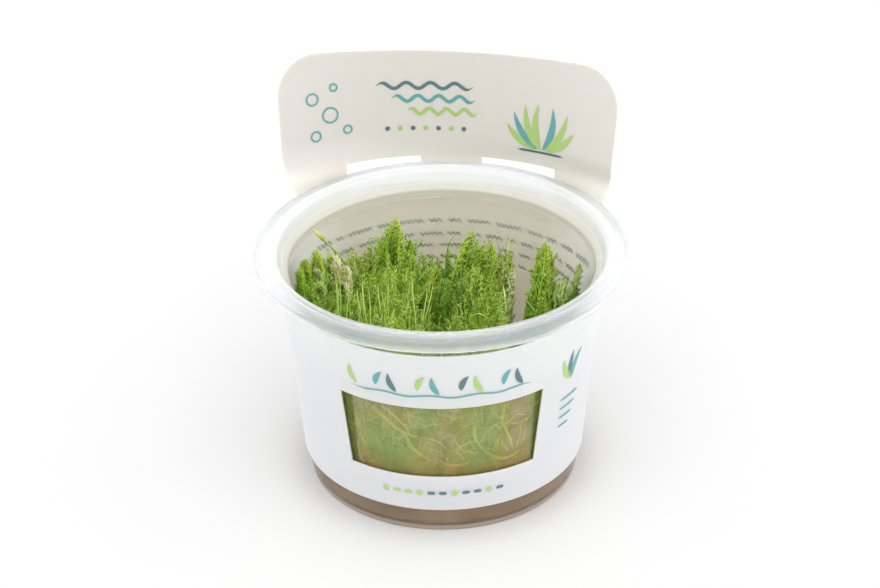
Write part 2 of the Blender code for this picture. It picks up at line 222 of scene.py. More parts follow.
class Surface:
    """A Principled material with short calls for the few texture and maths nodes used here."""

    def __init__(self, name, **sockets):
        self.material = bpy.data.materials.new(name)
        self.material.use_nodes = True
        self.tree = self.material.node_tree
        self.shader = self.tree.nodes["Principled BSDF"]
        for socket, value in sockets.items():
            self.set(socket.replace("_", " ").title().replace("Ior", "IOR"), value)
        self.where = self.node("TexCoord").outputs["Object"]

    def set(self, socket, value):
        """Sets a plain value on the shader's own socket."""
        colour = self.shader.inputs[socket].type == "RGBA"
        self.shader.inputs[socket].default_value = (*value, 1.0) if colour else value

    def link(self, output, socket):
        """Leads a pattern into one of the shader's sockets."""
        self.tree.links.new(output, self.shader.inputs[socket])

    def node(self, kind, inputs=None, **settings):
        """Adds a node to this material."""
        return add_node(self.tree, kind, inputs, **settings)

    def tint(self):
        """The colour that the piece's own points carry."""
        return self.node("Attribute", attribute_name="tint").outputs["Color"]

    def noise(self, per_metre, detail=3.0, roughness=0.55, stretch=(1, 1, 1), offset=(0, 0, 0)):
        """Soft noise over the piece, finer for a larger number per metre."""
        place = self.node("Mapping", {"Vector": self.where, "Scale": stretch, "Location": offset})
        inputs = {"Vector": place.outputs[0], "Scale": per_metre, "Detail": detail, "Roughness": roughness}
        return self.node("TexNoise", inputs).outputs["Fac"]

    def ramp(self, factor, stops):
        """Colours read along a band at the factor, from stops of (place, colour)."""
        made = self.node("ValToRGB", {"Fac": factor})
        band = made.color_ramp
        while len(band.elements) < len(stops):
            band.elements.new(0.5)
        for element, (place, colour) in zip(band.elements, stops):
            element.position = place
            element.color = (*colour, 1.0)
        return made.outputs["Color"]

    def mix(self, factor, first, second, blend="MIX"):
        """The first colour, with the second over it by the factor."""
        first, second = (v if isinstance(v, bpy.types.NodeSocket) else (*v, 1.0) for v in (first, second))
        inputs = {0: factor, 6: first, 7: second}
        return self.node("Mix", inputs, data_type="RGBA", blend_type=blend).outputs[2]

    def scaled(self, value, low, high, from_low=0.0, from_high=1.0):
        """From low to high while the value goes from from_low to from_high, and held at both ends."""
        inputs = {"Value": value, "From Min": from_low, "From Max": from_high, "To Min": low, "To Max": high}
        return self.node("MapRange", inputs).outputs["Result"]

    def maths(self, operation, *values):
        """One step of arithmetic on numbers or sockets."""
        return self.node("Math", dict(enumerate(values)), operation=operation).outputs[0]

    def times(self, first, *others):
        """The product of all the values."""
        for other in others:
            first = self.maths("MULTIPLY", first, other)
        return first

    def less(self, whole, part):
        """The first value less the second."""
        return self.maths("SUBTRACT", whole, part)

    def bump(self, height, strength, distance):
        """Tilts the surface's normals as if the pattern were relief of the distance in metres."""
        made = self.node("Bump", {"Height": height, "Strength": strength, "Distance": distance})
        self.link(made.outputs["Normal"], "Normal")


print("a surface has calls for", sorted(name for name in vars(Surface) if name[0] != "_"))

# %% [markdown]
# The cup is one thin moulded shell. Its section is a line of corners, each rounded by a small curve, and the
# section is turned about the axis. Blender's Screw modifier could turn it too, but the same few lines of
# numpy also turn the gel, whose top has waves. A fine turn matters more than usual here, because every facet
# of a clear wall bends what is seen through it.

# %% The cup's section
FOOT_RADIUS = 29.78
TAPER = 0.085
WALL = 0.9
RIM_RADIUS = 40.0
RIM_TOP = 53.5
SKIRT_LOW = 50.9
SHOULDER = 49.2
FLOOR_TOP = 1.8
RING_TOP = 0.5
CUP_TURNS = 280


def wall_radius(z):
    """The outer wall is a cone: the foot's radius plus the taper times the height."""
    return FOOT_RADIUS + TAPER * z


def inner_radius(z):
    """The inner wall lies one wall thickness inside the outer one."""
    return wall_radius(z) - WALL


def rounded(corners, steps):
    """Rounds a line of (r, z, radius) corners: each becomes a quadratic curve that touches both its sides.

    The curve starts and ends as far from the corner as an arc of the radius would, or halfway along a side.
    """
    line = []
    for k, (r, z, radius) in enumerate(corners):
        here = np.array([r, z])
        if radius == 0.0:
            line.append(here)
            continue
        before = np.array(corners[k - 1][:2]) - here
        after = np.array(corners[k + 1][:2]) - here
        reach = min(np.linalg.norm(before), np.linalg.norm(after)) * 0.49
        before, after = before / np.linalg.norm(before), after / np.linalg.norm(after)
        half = 0.5 * math.acos(float(np.clip(before @ after, -1.0, 1.0)))
        back = min(radius / math.tan(half), reach)
        t = np.linspace(0.0, 1.0, steps + 1)[:, None]
        start, end = here + before * back, here + after * back
        line.extend((1 - t) ** 2 * start + 2 * t * (1 - t) * here + t**2 * end)
    return np.array(line)


CUP_SECTION = [
    (0.0, 0.9, 0.0), (24.6, 0.9, 0.3), (25.3, 0.0, 0.3), (wall_radius(0.0), 0.0, 0.8),
    (wall_radius(SHOULDER), SHOULDER, 0.9), (35.35, 50.4, 0.7), (35.75, 51.8, 0.5),
    (36.6, RIM_TOP - WALL, 0.4), (38.9, RIM_TOP - WALL, 0.6), (39.2, 52.0, 0.3), (39.2, SKIRT_LOW, 0.15),
    (39.95, SKIRT_LOW, 0.3), (RIM_RADIUS, RIM_TOP, 1.0), (37.6, RIM_TOP, 0.4), (36.9, 53.9, 0.4),
    (36.0, 53.75, 0.5), (35.25, 52.8, 0.6), (34.5, 50.75, 0.7),
    (inner_radius(SHOULDER), SHOULDER + 0.35, 0.9), (inner_radius(RING_TOP), RING_TOP, 0.8),
    (25.9, RING_TOP, 0.3), (25.1, FLOOR_TOP, 0.3), (0.0, FLOOR_TOP, 0.0),
]
print("the cup's section has", len(CUP_SECTION), "corners and", len(rounded(CUP_SECTION, 6)), "points")


def turned_piece(name, section, turns, material, wobble=None):
    """A closed turned solid: x is r cos a and y is r sin a for every angle a, and both ends lie on the axis.

    A fan of triangles closes each pole. A wobble may move the points as a function of r, z and a.
    """
    angle = np.arange(turns) * TURN / turns
    body = section[1:-1]
    r, z = (np.repeat(body[:, k : k + 1], turns, 1) for k in (0, 1))
    if wobble is not None:
        r, z = wobble(r, z, angle[None, :])
    rings = np.stack([r * np.cos(angle), r * np.sin(angle), z], -1).reshape(-1, 3)
    points = np.vstack([rings, [0, 0, section[0, 1]], [0, 0, section[-1, 1]]])
    k = np.arange(turns)
    n = (k + 1) % turns
    last = (len(body) - 1) * turns
    first_fan = np.stack([np.full(turns, len(rings)), n, k], -1)
    last_fan = np.stack([np.full(turns, len(rings) + 1), last + k, last + n], -1)
    walls = split_quads(grid_faces(len(body), turns, wrap=True))
    return make_piece(name, points, np.vstack([walls, first_fan, last_fan]), material)


# %% [markdown]
# One clear material serves the whole cup. Plain transmission does the bending, with an index of refraction
# below a real plastic's, because the thick rolls of the rim would otherwise show darker bands than they have
# in soft light. What differs from place to place is written as zones: numbers from 0 to 1, worked out from
# the height, the distance from the axis and the way round from the window's middle, which multiply like
# masks. A painted texture could do it too, but a zone stays sharp and follows the cup's own measures.

# %% Zones of the clear plastic
ZONE_MIDDLE = 4.1
FOOT_ZONE, SHOULDER_ZONE, ROLL_ZONE, FUNNEL_ZONE = (0.8, 1.6), (47.4, 48.4), (49.6, 50.2), (50.4, 51.4)
ROLL_REACH, EDGE_REACH, FRONT_FADE = (36.8, 37.8), (38.5, 39.0), (30.0, 75.0)
clear = Surface("clear_moulded_plastic", ior=1.3, specular_ior_level=0.5)
place = clear.node("SeparateXYZ", {"Vector": clear.where}).outputs
height = place["Z"]
level = clear.node("VectorMath", {0: clear.where, 1: (1.0, 1.0, 0.0)}, operation="MULTIPLY").outputs["Vector"]
from_axis = clear.node("VectorMath", {0: level}, operation="LENGTH").outputs["Value"]
from_front = clear.maths("ARCTAN2", place["X"], clear.times(place["Y"], -1.0))
off_middle = clear.maths("ABSOLUTE", clear.less(from_front, math.radians(ZONE_MIDDLE)))


def rising(value, span):
    """From 0 to 1 while a height or a distance goes through the span, which is in millimetres."""
    return clear.scaled(value, 0.0, 1.0, *(end * MM for end in span))


def falling(value, span):
    """From 1 to 0 while a height or a distance goes through the span."""
    return clear.scaled(value, 1.0, 0.0, *(end * MM for end in span))


def nearer(*span):
    """From 1 to 0 while the way round from the window's middle goes through the span, in degrees."""
    return clear.scaled(off_middle, 1.0, 0.0, *map(math.radians, span))


# The foot's zone carries painted light: tan and milkiness that lift the shadow its rounded corner sees under
# it.
foot_painted_light = falling(height, FOOT_ZONE)
roll_out = clear.times(rising(from_axis, ROLL_REACH), rising(height, ROLL_ZONE))
at_rim = clear.maths("MAXIMUM", rising(height, FUNNEL_ZONE), roll_out)
front_share = nearer(*FRONT_FADE)
past_front = clear.less(1.0, front_share)
shoulder = clear.times(rising(height, SHOULDER_ZONE), clear.less(1.0, at_rim), past_front)
print("the plastic's zones take", len(clear.tree.nodes), "nodes")

# %% [markdown]
# Behind the window the wall carries a painted reflection: a pale haze with sharp upright sides that stands
# for the reflection of a broad light panel. It is less see-through, rougher, tinted in patches and browner
# towards the gel. Beside it a narrow strip of wall stays green. Both are zones of the cup's own material,
# because a second skin of plastic would reflect the light twice.

# %% Painted reflection and film behind the window
REFLECTION_HALF, REFLECTION_EDGE, REFLECTION_LOW, REFLECTION_HIGH, REFLECTION_FADE = 35.9, 0.4, 13.5, 36.0, 1.0
FILM_FADE, BROWN_FOOT = (44.0, 50.0), (15.0, 30.0)
reflection_sides = nearer(REFLECTION_HALF - REFLECTION_EDGE, REFLECTION_HALF + REFLECTION_EDGE)
reflection_above, reflection_below = (REFLECTION_LOW, REFLECTION_LOW + REFLECTION_FADE), (REFLECTION_HIGH, REFLECTION_HIGH + REFLECTION_FADE)
reflection_height = clear.times(rising(height, reflection_above), falling(height, reflection_below))
reflection_cloud = clear.scaled(clear.noise(260.0), 0.65, 1.0, 0.35, 0.65)
# This zone is the painted reflection of a light panel: a pale, tinted haze on the wall.
painted_reflection = clear.times(reflection_sides, reflection_height, reflection_cloud)
film = clear.times(reflection_height, nearer(*FILM_FADE))
beside_reflection = clear.times(film, clear.less(1.0, reflection_sides))
reflection_rows = clear.ramp(rising(height, BROWN_FOOT), [(0.0, (0.96, 0.74, 0.50)), (0.4, (1.0, 1.0, 1.0))])
reflection_patches = clear.ramp(clear.noise(95.0, detail=2.0, offset=(0.004, 0.0, 0.01)), [
    (0.34, (0.68, 0.82, 0.40)), (0.47, (0.82, 0.84, 0.42)),
    (0.6, (0.90, 0.82, 0.46)), (0.7, (0.84, 0.80, 0.60)),
])
reflection_tint = clear.mix(1.0, reflection_patches, reflection_rows, "MULTIPLY")
print("the mist covers", 2 * REFLECTION_HALF, "degrees of the wall")

# %% [markdown]
# The plastic's other tints are faint: green in front, where moss stands close behind it, tan at the foot,
# which is painted light over the shadow that the foot's rounded corner sees under itself, warm at the
# shoulder past the front, and a cool painted shade along the front edge of the rim, for the shaded gap under
# the rim that shows through it there. Each is mixed over the one before it by its zone.

# %% Tints of the plastic
# The foot's tan below is painted light over the shadow under the foot's corner.
FILM_TINT, FOOT_PAINTED_LIGHT, SHOULDER_TINT = (0.72, 0.76, 0.14), (0.60, 0.47, 0.36), (0.83, 0.81, 0.74)
# The lip's cool tint is painted shade: it stands for the shaded gap under the rim, seen through its front
# edge.
RIM_TINT, LIP_PAINTED_SHADE, LIP_ZONE = (0.97, 0.985, 0.99), (0.68, 0.76, 0.78), (52.2, 52.7)
front_lip_painted_shade = clear.times(rising(from_axis, EDGE_REACH), rising(height, LIP_ZONE), front_share)
wall_tint = clear.mix(film, (1.0, 1.0, 1.0), FILM_TINT)
wall_tint = clear.mix(foot_painted_light, wall_tint, FOOT_PAINTED_LIGHT)
wall_tint = clear.mix(shoulder, wall_tint, SHOULDER_TINT)
bare_tint = clear.mix(at_rim, wall_tint, clear.mix(front_lip_painted_shade, RIM_TINT, LIP_PAINTED_SHADE))
clear.link(clear.mix(painted_reflection, bare_tint, reflection_tint), "Base Color")
print("the plastic's tints bring it to", len(clear.tree.nodes), "nodes")

# %% [markdown]
# Where the moulding is thick or was drawn while hot, at the rolled rim, its skirt and the shoulder, the
# plastic is a little milky. Milkiness is a lower transmission weight, whose rest scatters light as white
# plastic does.
# At the foot the milkiness, with its tan, is painted light that lifts the shadow under the foot's corner.
# Each zone adds its own share of it. The rim is rougher too, which blurs the many reflections in its curves,
# and a very weak, slow bump stands for the ripple of the wall.

# %% Milkiness, roughness and the cup
UPPER_LOW, UPPER_HIGH, INNER_ZONE, SKIRT_ZONE = 36.0 * MM, 40.0 * MM, (48.0, 49.0), (51.4, 52.2)
front_funnel = clear.times(rising(height, INNER_ZONE), front_share)
inside_rim = clear.times(falling(from_axis, ROLL_REACH), clear.maths("MAXIMUM", at_rim, front_funnel))
low_skirt = clear.times(rising(from_axis, EDGE_REACH), falling(height, SKIRT_ZONE), at_rim)
thick_parts = clear.maths("ADD", inside_rim, low_skirt)
rim_past_front = clear.times(at_rim, past_front)
milky_shares = [
    (thick_parts, 0.26), (foot_painted_light, 0.6), (shoulder, 0.6), (beside_reflection, 0.06), (rim_past_front, 0.28),
]
milky = clear.scaled(height, 0.01, 0.06, UPPER_LOW, UPPER_HIGH)
for zone, share in milky_shares:
    milky = clear.maths("ADD", milky, clear.times(zone, share))
clear.link(clear.less(clear.less(1.0, milky), clear.times(painted_reflection, 0.22)), "Transmission Weight")
clear.link(clear.maths("ADD", clear.scaled(at_rim, 0.06, 0.26), clear.times(painted_reflection, 0.06)), "Roughness")
ripple = clear.times(clear.noise(90.0, detail=1.0, stretch=(1, 1, 0.35)), clear.scaled(at_rim, 1.0, 0.1))
clear.bump(ripple, 0.06, 0.0006)
cup = turned_piece("cup_shell", rounded(CUP_SECTION, 6), CUP_TURNS, clear.material)
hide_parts("cup")

# %% [markdown]
# The gel was poured warm and set, so it fills the cup's bottom without a gap and has a nearly flat top,
# slightly raised where it clings to the wall. It is cloudy and tan, darker in some places than in others. A
# Boolean of the cup's inside could give its body, but it is a turned section too, and so a formula can add
# waves to its top. Real gel wets the plastic, and no film of air lies between them to reflect: its side is
# set a tenth of a millimetre into the wall for that.

# %% Nutrient gel
GEL_TOP, GEL_DIP, GEL_CLING = 13.5, 0.9, 1.2
GEL_BEND_RADIUS, GEL_BEND_HEIGHT = 28.25, 1.45
WETS_IN = 0.1
GEL_TURNS = 96


def gel_waves(r, z, angle):
    """Moves the upper face by a sum of three slow waves that fade out at the wall and at the axis."""
    top = smooth_step((z - GEL_TOP + 2.5) / 1.5)
    fade = smooth_step((27.0 - r) / 6.0) * smooth_step(r / 6.0)
    wave = np.sin(3 * angle + r / 4) + 0.7 * np.sin(5 * angle - r / 3 + 1.0)
    wave = wave + 0.5 * np.sin(2 * angle + r / 7 + 2.0)
    return r, z + 0.35 * top * fade * wave


def gel_height(r):
    """The top before its waves: low in the middle, and raised by an exponential of the way to the wall."""
    return GEL_TOP - GEL_DIP + GEL_DIP * math.exp((r - inner_radius(GEL_TOP)) / GEL_CLING)


gel_side = [(inner_radius(z) + WETS_IN, z) for z in np.linspace(2.2, GEL_TOP, 12)]
gel_over = [(r, gel_height(r)) for r in np.linspace(27.8, 1.5, 16)]
gel_bend = [
    (GEL_BEND_RADIUS + 0.92 * math.sin(a), GEL_BEND_HEIGHT - math.cos(a)) for a in np.linspace(0.0, 1.3, 6)
]
gel_foot = [(0.0, FLOOR_TOP - 0.05), (25.0, FLOOR_TOP - 0.05), (26.0, RING_TOP - 0.05)]
gel_section = np.array(gel_foot + gel_bend + gel_side + gel_over + [(0.0, GEL_TOP - GEL_DIP)])
gel = Surface("set_gel", roughness=0.22, ior=1.34, subsurface_weight=0.35, subsurface_scale=0.004)
gel.set("Subsurface Radius", (1.0, 0.75, 0.5))
gel_cloud = gel.noise(120.0, detail=4.0)
gel.link(gel.ramp(gel_cloud, [(0.3, (0.27, 0.18, 0.10)), (0.7, (0.40, 0.285, 0.175))]), "Base Color")
gel.bump(gel.noise(700.0, detail=2.0), 0.15, 0.0004)
gel_piece = turned_piece("gel_disc", gel_section, GEL_TURNS, gel.material, wobble=gel_waves)
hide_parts("nutrient_gel")

# %% [markdown]
# The card is one die-cut sheet: a sleeve that wraps the cup, with a window in front, and a header that
# stands up behind it. The cup's rim passes through a slot at the header's foot. Bending a flat cut-out with
# modifiers would be hard to aim, so one function gives the bent sheet's middle surface, from the turn round
# the cup and the height, and everything on the card uses it: the sheet's two faces and its printed marks.

# %% The bent sheet as one function
CARD_THICK = 0.42
CARD_GAP, SOLID_HALF_SHEET = 0.35, 0.25
SLEEVE_LOW, SLEEVE_HIGH = 6.3, 46.7
LIFT_START, LIFT_END, LIFT_FADE = 37.0, 52.0, 13.0
HEADER_TOP, HEADER_HALF, HEADER_CORNER = 80.9, 39.4, 9.4
HEADER_CURVE_LOW, HEADER_CURVE_TOP, HEADER_BACK_LOW = 57.0, 106.0, 38.15
HEADER_TWIST, TWIST_LOW, TWIST_HIGH = math.radians(3.6), 53.5, 60.5
LEG_NARROW, LEG_LOW, LEG_HIGH = 2.0, 48.0, 60.0
SIDE_RISE, SIDE_START, RISE_TOP = 2.3, 28.0, 54.0
SIDE_TURN, FRONT_TURN = math.radians(108), math.radians(150)


def card_radius(z):
    """The sleeve is a cone round the cup's wall, a small gap and half the solid's sheet outside it."""
    return wall_radius(z) + CARD_GAP + SOLID_HALF_SHEET


CARD_REACH = card_radius(SLEEVE_HIGH)


def card_point(turn, z):
    """The sheet's middle: a cone, which blends into a header that leans back and flattens as it rises.

    turn is measured from the back, positive towards +X. The header at a height is an arc through a point
    behind the cup, twisted a little about its middle. The arc's curvature and the length that a turn takes up
    on it go over from the cone's to the header's own with the lift, an eased share of the height, so nothing
    jumps between the two. Past the header's sides the cone takes over again.
    """
    turn, z = np.broadcast_arrays(np.asarray(turn, float), np.asarray(z, float))
    radius = card_radius(z)
    cone = np.stack([radius * np.sin(turn), radius * np.cos(turn), z], -1)
    lift = smooth_step((z - LIFT_START) / (LIFT_END - LIFT_START))
    rise = np.clip((z - LIFT_END) / (HEADER_TOP - LIFT_END), 0.0, 1.0)
    back = HEADER_BACK_LOW + (RIM_RADIUS - SOLID_HALF_SHEET - HEADER_BACK_LOW) * rise
    curve = 1.0 / ((1.0 - rise) / HEADER_CURVE_LOW + rise / HEADER_CURVE_TOP)
    back = radius + (back - radius) * lift
    curve = 1.0 / ((1.0 - lift) / radius + lift / curve)
    along = turn * CARD_REACH
    bend = turn * (radius + (CARD_REACH - radius) * lift) / curve
    twist = HEADER_TWIST * smooth_step((z - TWIST_LOW) / (TWIST_HIGH - TWIST_LOW))
    x, y = curve * np.sin(bend), curve * (np.cos(bend) - 1.0)
    c, s = np.cos(twist), np.sin(twist)
    header = np.stack([x * c + y * s, back + y * c - x * s, z], -1)
    side = smooth_step((np.abs(along) - HEADER_HALF) / LIFT_FADE)[..., None]
    return np.where(lift[..., None] > 0.0, header + (cone - header) * side, cone)


def card_outward(turn, z):
    """The sheet's outward normal: the cross product of its slopes round the cup and upwards."""
    step = 1e-3
    along = card_point(turn + step, z) - card_point(turn - step, z)
    upward = card_point(turn, z + step) - card_point(turn, z - step)
    normal = np.cross(upward, along)
    return normal / np.linalg.norm(normal, axis=-1, keepdims=True)


def shifted(turn, z):
    """Moves points of the flat card: the header's legs narrow downwards, and the sleeve's sides rise.

    Both are products of eased steps: in the distance from the header's edge, in height, and round the cup.
    """
    along = np.abs(turn) * CARD_REACH
    near_edge = smooth_step((along - SIDE_START) / (HEADER_HALF - SIDE_START))
    below, above = (z - LIFT_START) / (SLEEVE_HIGH - LIFT_START), (RISE_TOP - z) / (RISE_TOP - SLEEVE_HIGH)
    narrow = near_edge * (1.0 - smooth_step((along - HEADER_HALF) / LIFT_FADE)) * smooth_step(below)
    narrow = LEG_NARROW * narrow * smooth_step((LEG_HIGH - z) / (LEG_HIGH - LEG_LOW))
    rise = near_edge * (1.0 - smooth_step((np.abs(turn) - SIDE_TURN) / (FRONT_TURN - SIDE_TURN)))
    raised = SIDE_RISE * rise * np.clip(np.minimum(below, above), 0, 1)
    return turn - np.sign(turn) * narrow / CARD_REACH, z + raised


print("the header's top edge at the back is at", card_point(0.0, HEADER_TOP).round(1))

# %% [markdown]
# A grid covers the whole sheet, with lines along every cut edge, and the cells in the holes are left out.
# Both faces are copies of the grid moved apart by the card's thickness, and wherever a cell has no neighbour,
# a narrow wall joins the two: that is the cut edge. The window's sides flare a little towards the top.

# %% The sheet's grid and its holes
WINDOW_LOW, WINDOW_HIGH = 15.2, 33.5
WINDOW_MIDDLE = math.pi - math.radians(3.2)
WINDOW_HALF, WINDOW_FLARE = math.radians(38.5), math.radians(1.05)
SLOT_LOW, SLOT_HIGH, SLOT_HALF, SLOT_DROP = 49.2, 55.6, 24.3, 0.45
NOTCH_INNER, TAB_HALF, TAB_LOW = 21.9, 7.0, 54.0
WINDOW_CENTRE, WINDOW_REACH, FLARE_WIDTH = 24.35, 9.15, 0.12
CELL_ALONG, CELL_ROUND, CELL_UP, CORNER_STEP, HEADER_ROWS = 0.9, math.radians(1.6), 1.2, 7.5, 22
NEAR, TINY = 0.01, 1e-6


def between(stops, step):
    """Even spacing from each stop to the next, in steps no longer than the one given."""
    parts = [np.linspace(a, b, max(1, math.ceil((b - a) / step)) + 1)[:-1] for a, b in zip(stops, stops[1:])]
    return np.concatenate(parts + [[stops[-1]]])


def inside(value, low, high):
    """Where the value lies between the two limits."""
    return (value > low) & (value < high)


corner = HEADER_HALF - HEADER_CORNER + HEADER_CORNER * np.sin(np.radians(np.arange(0, 91, CORNER_STEP)))
near = between([0.0, TAB_HALF, NOTCH_INNER, SLOT_HALF, corner[0]], CELL_ALONG)[:-1]
right_turns = np.concatenate([near, corner]) / CARD_REACH
window_left, window_right = WINDOW_MIDDLE - WINDOW_HALF, WINDOW_MIDDLE + WINDOW_HALF
front = between([right_turns[-1], window_left, window_right, TURN - right_turns[-1]], CELL_ROUND)
turns = np.concatenate([right_turns, front[1:-1], TURN - right_turns[:0:-1]])
signed = np.where(turns > math.pi, turns - TURN, turns)
lengths = signed * CARD_REACH

row_stops = [SLEEVE_LOW, WINDOW_LOW, WINDOW_HIGH, LIFT_START, SLEEVE_HIGH, SLOT_LOW, TAB_LOW]
lower_rows = between(row_stops, CELL_UP)
past = np.clip(np.abs(lengths) - (HEADER_HALF - HEADER_CORNER), 0.0, HEADER_CORNER)
header_edge = HEADER_TOP - HEADER_CORNER + np.sqrt(HEADER_CORNER**2 - past**2)
slot_edge = SLOT_HIGH - SLOT_DROP * np.minimum(1.0, (lengths / SLOT_HALF) ** 2)
upper_rows = blend(slot_edge, header_edge, np.linspace(0.0, 1.0, HEADER_ROWS)[:, None])
heights = np.vstack([np.repeat(lower_rows[:, None], len(turns), 1), upper_rows])
flare = WINDOW_FLARE * (heights - WINDOW_CENTRE) / WINDOW_REACH
window_edges = window_right, window_left
pull_right, pull_left = (np.exp(-(((turns - edge) / FLARE_WIDTH) ** 2)) for edge in window_edges)
beside_window = inside(heights, WINDOW_LOW - NEAR, WINDOW_HIGH + NEAR)
grid_turns = signed + flare * (pull_right - pull_left) * beside_window

middle = (turns + np.append(turns[1:], TURN)) / 2
away = np.abs(np.where(middle > math.pi, middle - TURN, middle) * CARD_REACH)[None, :]
row_low = np.append(lower_rows, [SLOT_HIGH] * (HEADER_ROWS - 1))[:, None] + TINY
in_window = inside(row_low, WINDOW_LOW, WINDOW_HIGH) & inside(middle, window_left, window_right)
in_notch = inside(row_low, SLEEVE_HIGH, SLOT_LOW) & inside(away, NOTCH_INNER, SLOT_HALF)
in_slot = inside(row_low, SLOT_LOW, TAB_LOW) & (away < SLOT_HALF)
beside_tab = inside(row_low, TAB_LOW, SLOT_HIGH) & inside(away, TAB_HALF, SLOT_HALF)
off_header = (row_low > SLEEVE_HIGH) & (away > HEADER_HALF)
kept = ~(in_window | in_notch | in_slot | beside_tab | off_header)
print("card grid:", heights.shape, "cells kept:", int(kept.sum()))


def sheet_triangles(rows, columns, kept):
    """Both faces of a sheet's kept cells, and the walls along every edge that only one kept cell has."""
    quads = grid_faces(rows, columns, wrap=True)[kept.ravel()]
    edges = np.concatenate([quads[:, [k, (k + 1) % 4]] for k in range(4)])
    span = rows * columns
    lone = ~np.isin(edges[:, 0] * span + edges[:, 1], edges[:, 1] * span + edges[:, 0])
    start, end = edges[lone].T
    walls = np.stack([start, start + span, end + span, end], -1)
    return split_quads(np.concatenate([quads, quads[:, ::-1] + span, walls]))


# %% [markdown]
# The board is coated white outside. Inside it is warm, and its tints carry painted light that makes it a
# bright warm white in front and at the sides, and painted shade that makes it darker towards the back; the
# header is a soft grey. These tints are carried by the sheet's own points, because they fade slowly along the
# card. A fine stretched noise gives the paper its fibres, in colour and in relief.

# %% Paper and the sheet
# The inside's warm face tint is painted light for the front and sides, and its back face tint is painted
# shade.
WHITE_FACE, INNER_FACE_PAINTED_LIGHT = (0.80, 0.80, 0.80), (0.97, 0.96, 0.88)
INNER_BACK_PAINTED_SHADE, HEADER_FACE, HEADER_BACK = (0.64, 0.60, 0.52), (0.50, 0.485, 0.475), (0.70, 0.69, 0.66)
BACK_TURN, SIDE_FADE = math.radians(35), math.radians(45)
HEADER_TINT_LOW, HEADER_TINT_FADE = 50.0, 8.0
paper = Surface("coated_card", roughness=0.5, subsurface_weight=1.0, subsurface_scale=0.002)
paper.set("Subsurface Radius", (1.0, 0.95, 0.85))
fibre = paper.noise(900.0, detail=5.0, roughness=0.7, stretch=(1, 1, 0.5))
paper.link(paper.mix(paper.scaled(fibre, 0.0, 0.05), paper.tint(), (0.62, 0.61, 0.57)), "Base Color")
paper.bump(fibre, 0.12, 0.0002)

bent_turns, bent_heights = shifted(grid_turns, heights)
sheet_middle = card_point(bent_turns, bent_heights)
sheet_normal = card_outward(bent_turns, bent_heights)
faces_in_out = [sheet_middle + side * sheet_normal * CARD_THICK / 2 for side in (-1.0, 1.0)]
sheet_points = np.concatenate([face.reshape(-1, 3) for face in faces_in_out])
header_share = smooth_step((bent_heights.reshape(-1, 1) - HEADER_TINT_LOW) / HEADER_TINT_FADE)
# This share paints shade towards the back of the card's inside.
painted_back_shade = 1.0 - smooth_step((np.abs(bent_turns.reshape(-1, 1)) - BACK_TURN) / SIDE_FADE)
inner_tint_and_painted_light = blend(blend(INNER_FACE_PAINTED_LIGHT, INNER_BACK_PAINTED_SHADE, painted_back_shade), HEADER_FACE, header_share)
sheet_tint = np.concatenate([inner_tint_and_painted_light, blend(WHITE_FACE, HEADER_BACK, header_share)])
faces = sheet_triangles(*heights.shape, kept)
sheet = make_piece("card_sheet", sheet_points, faces, paper.material, colours=sheet_tint, sharp=35.0)
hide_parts("card_sleeve")

# %% [markdown]
# The real card is printed. Its print is left out, and plain marks of like size and colour stand in other
# places: leaves, bubbles, waves and short dashes. An image could carry them, but it would blur close up. Each
# mark is a ribbon laid along a path on the flat card instead, a few hundredths of a millimetre proud, and the
# card's own function bends it into place.

# %% Marks as ribbons on the flat card
INK_PROUD, INK_SUNK = 0.03, 0.06
DARK_TEAL, TEAL = (0.035, 0.135, 0.15), (0.06, 0.33, 0.33)
LIGHT_GREEN, GREY_GREEN = (0.36, 0.55, 0.13), (0.36, 0.43, 0.38)


def ribbon(path, half):
    """A flat bar of four-sided section along a path: each ring has a low and a high corner on either side."""
    slope = unit(np.gradient(path, axis=0))
    across = np.stack([-slope[:, 1], slope[:, 0]], -1) * half[:, None]
    left, right = path + across, path - across
    corners = [(left, -INK_SUNK), (left, INK_PROUD), (right, INK_PROUD), (right, -INK_SUNK)]
    rings = np.stack([np.column_stack([side, np.full(len(path), high)]) for side, high in corners], 1)
    return rings.reshape(-1, 3), bar_faces(len(path))


def dash(x, z, length, half):
    """A straight bar with round ends: near an end its half width follows the circle of that radius."""
    t = np.linspace(0.0, 1.0, max(8, int(length / 0.9)))
    ends = np.minimum(t, 1.0 - t) * length / half
    width = half * np.sqrt(np.clip(1.0 - (1.0 - np.minimum(ends, 1.0)) ** 2, 0.01, 1.0))
    return np.stack([x + (t - 0.5) * length, np.full_like(t, z)], -1), width


def leaf_mark(x, z, length, lean, half, bow=0.12):
    """A slim leaf from its foot: it bows to one side and is widest a little below its middle."""
    t = np.linspace(0.0, 1.0, 16)
    side = bow * length * np.sin(np.pi * t)
    c, s = math.cos(math.radians(lean)), math.sin(math.radians(lean))
    path = np.stack([x + s * t * length + c * side, z + c * t * length - s * side], -1)
    return path, half * np.sin(np.pi * t**0.8) ** 0.8 + 0.03


def ring_mark(x, z, radius, half):
    """A circle drawn with one stroke."""
    a = np.linspace(0.0, TURN, 40)
    return np.stack([x + radius * np.cos(a), z + radius * np.sin(a)], -1), np.full(40, half)


def dot_mark(x, z, radius):
    """A round dot: a short bar whose half width follows the circle."""
    t = np.linspace(-1.0, 1.0, 14)
    return np.stack([x + t * radius, np.full(14, z)], -1), radius * np.sqrt(np.clip(1.0 - t**2, 0.004, 1.0))


def wave_mark(x, z, length, swing, count, half, steps=24):
    """A wavy line: the sine of the way along it, with the steps in each wave, tapered at both ends."""
    t = np.linspace(0.0, 1.0, steps * count)
    path = np.stack([x + (t - 0.5) * length, z + swing * np.sin(TURN * count * t)], -1)
    return path, half * np.clip(12.0 * np.minimum(t, 1.0 - t), 0.15, 1.0)


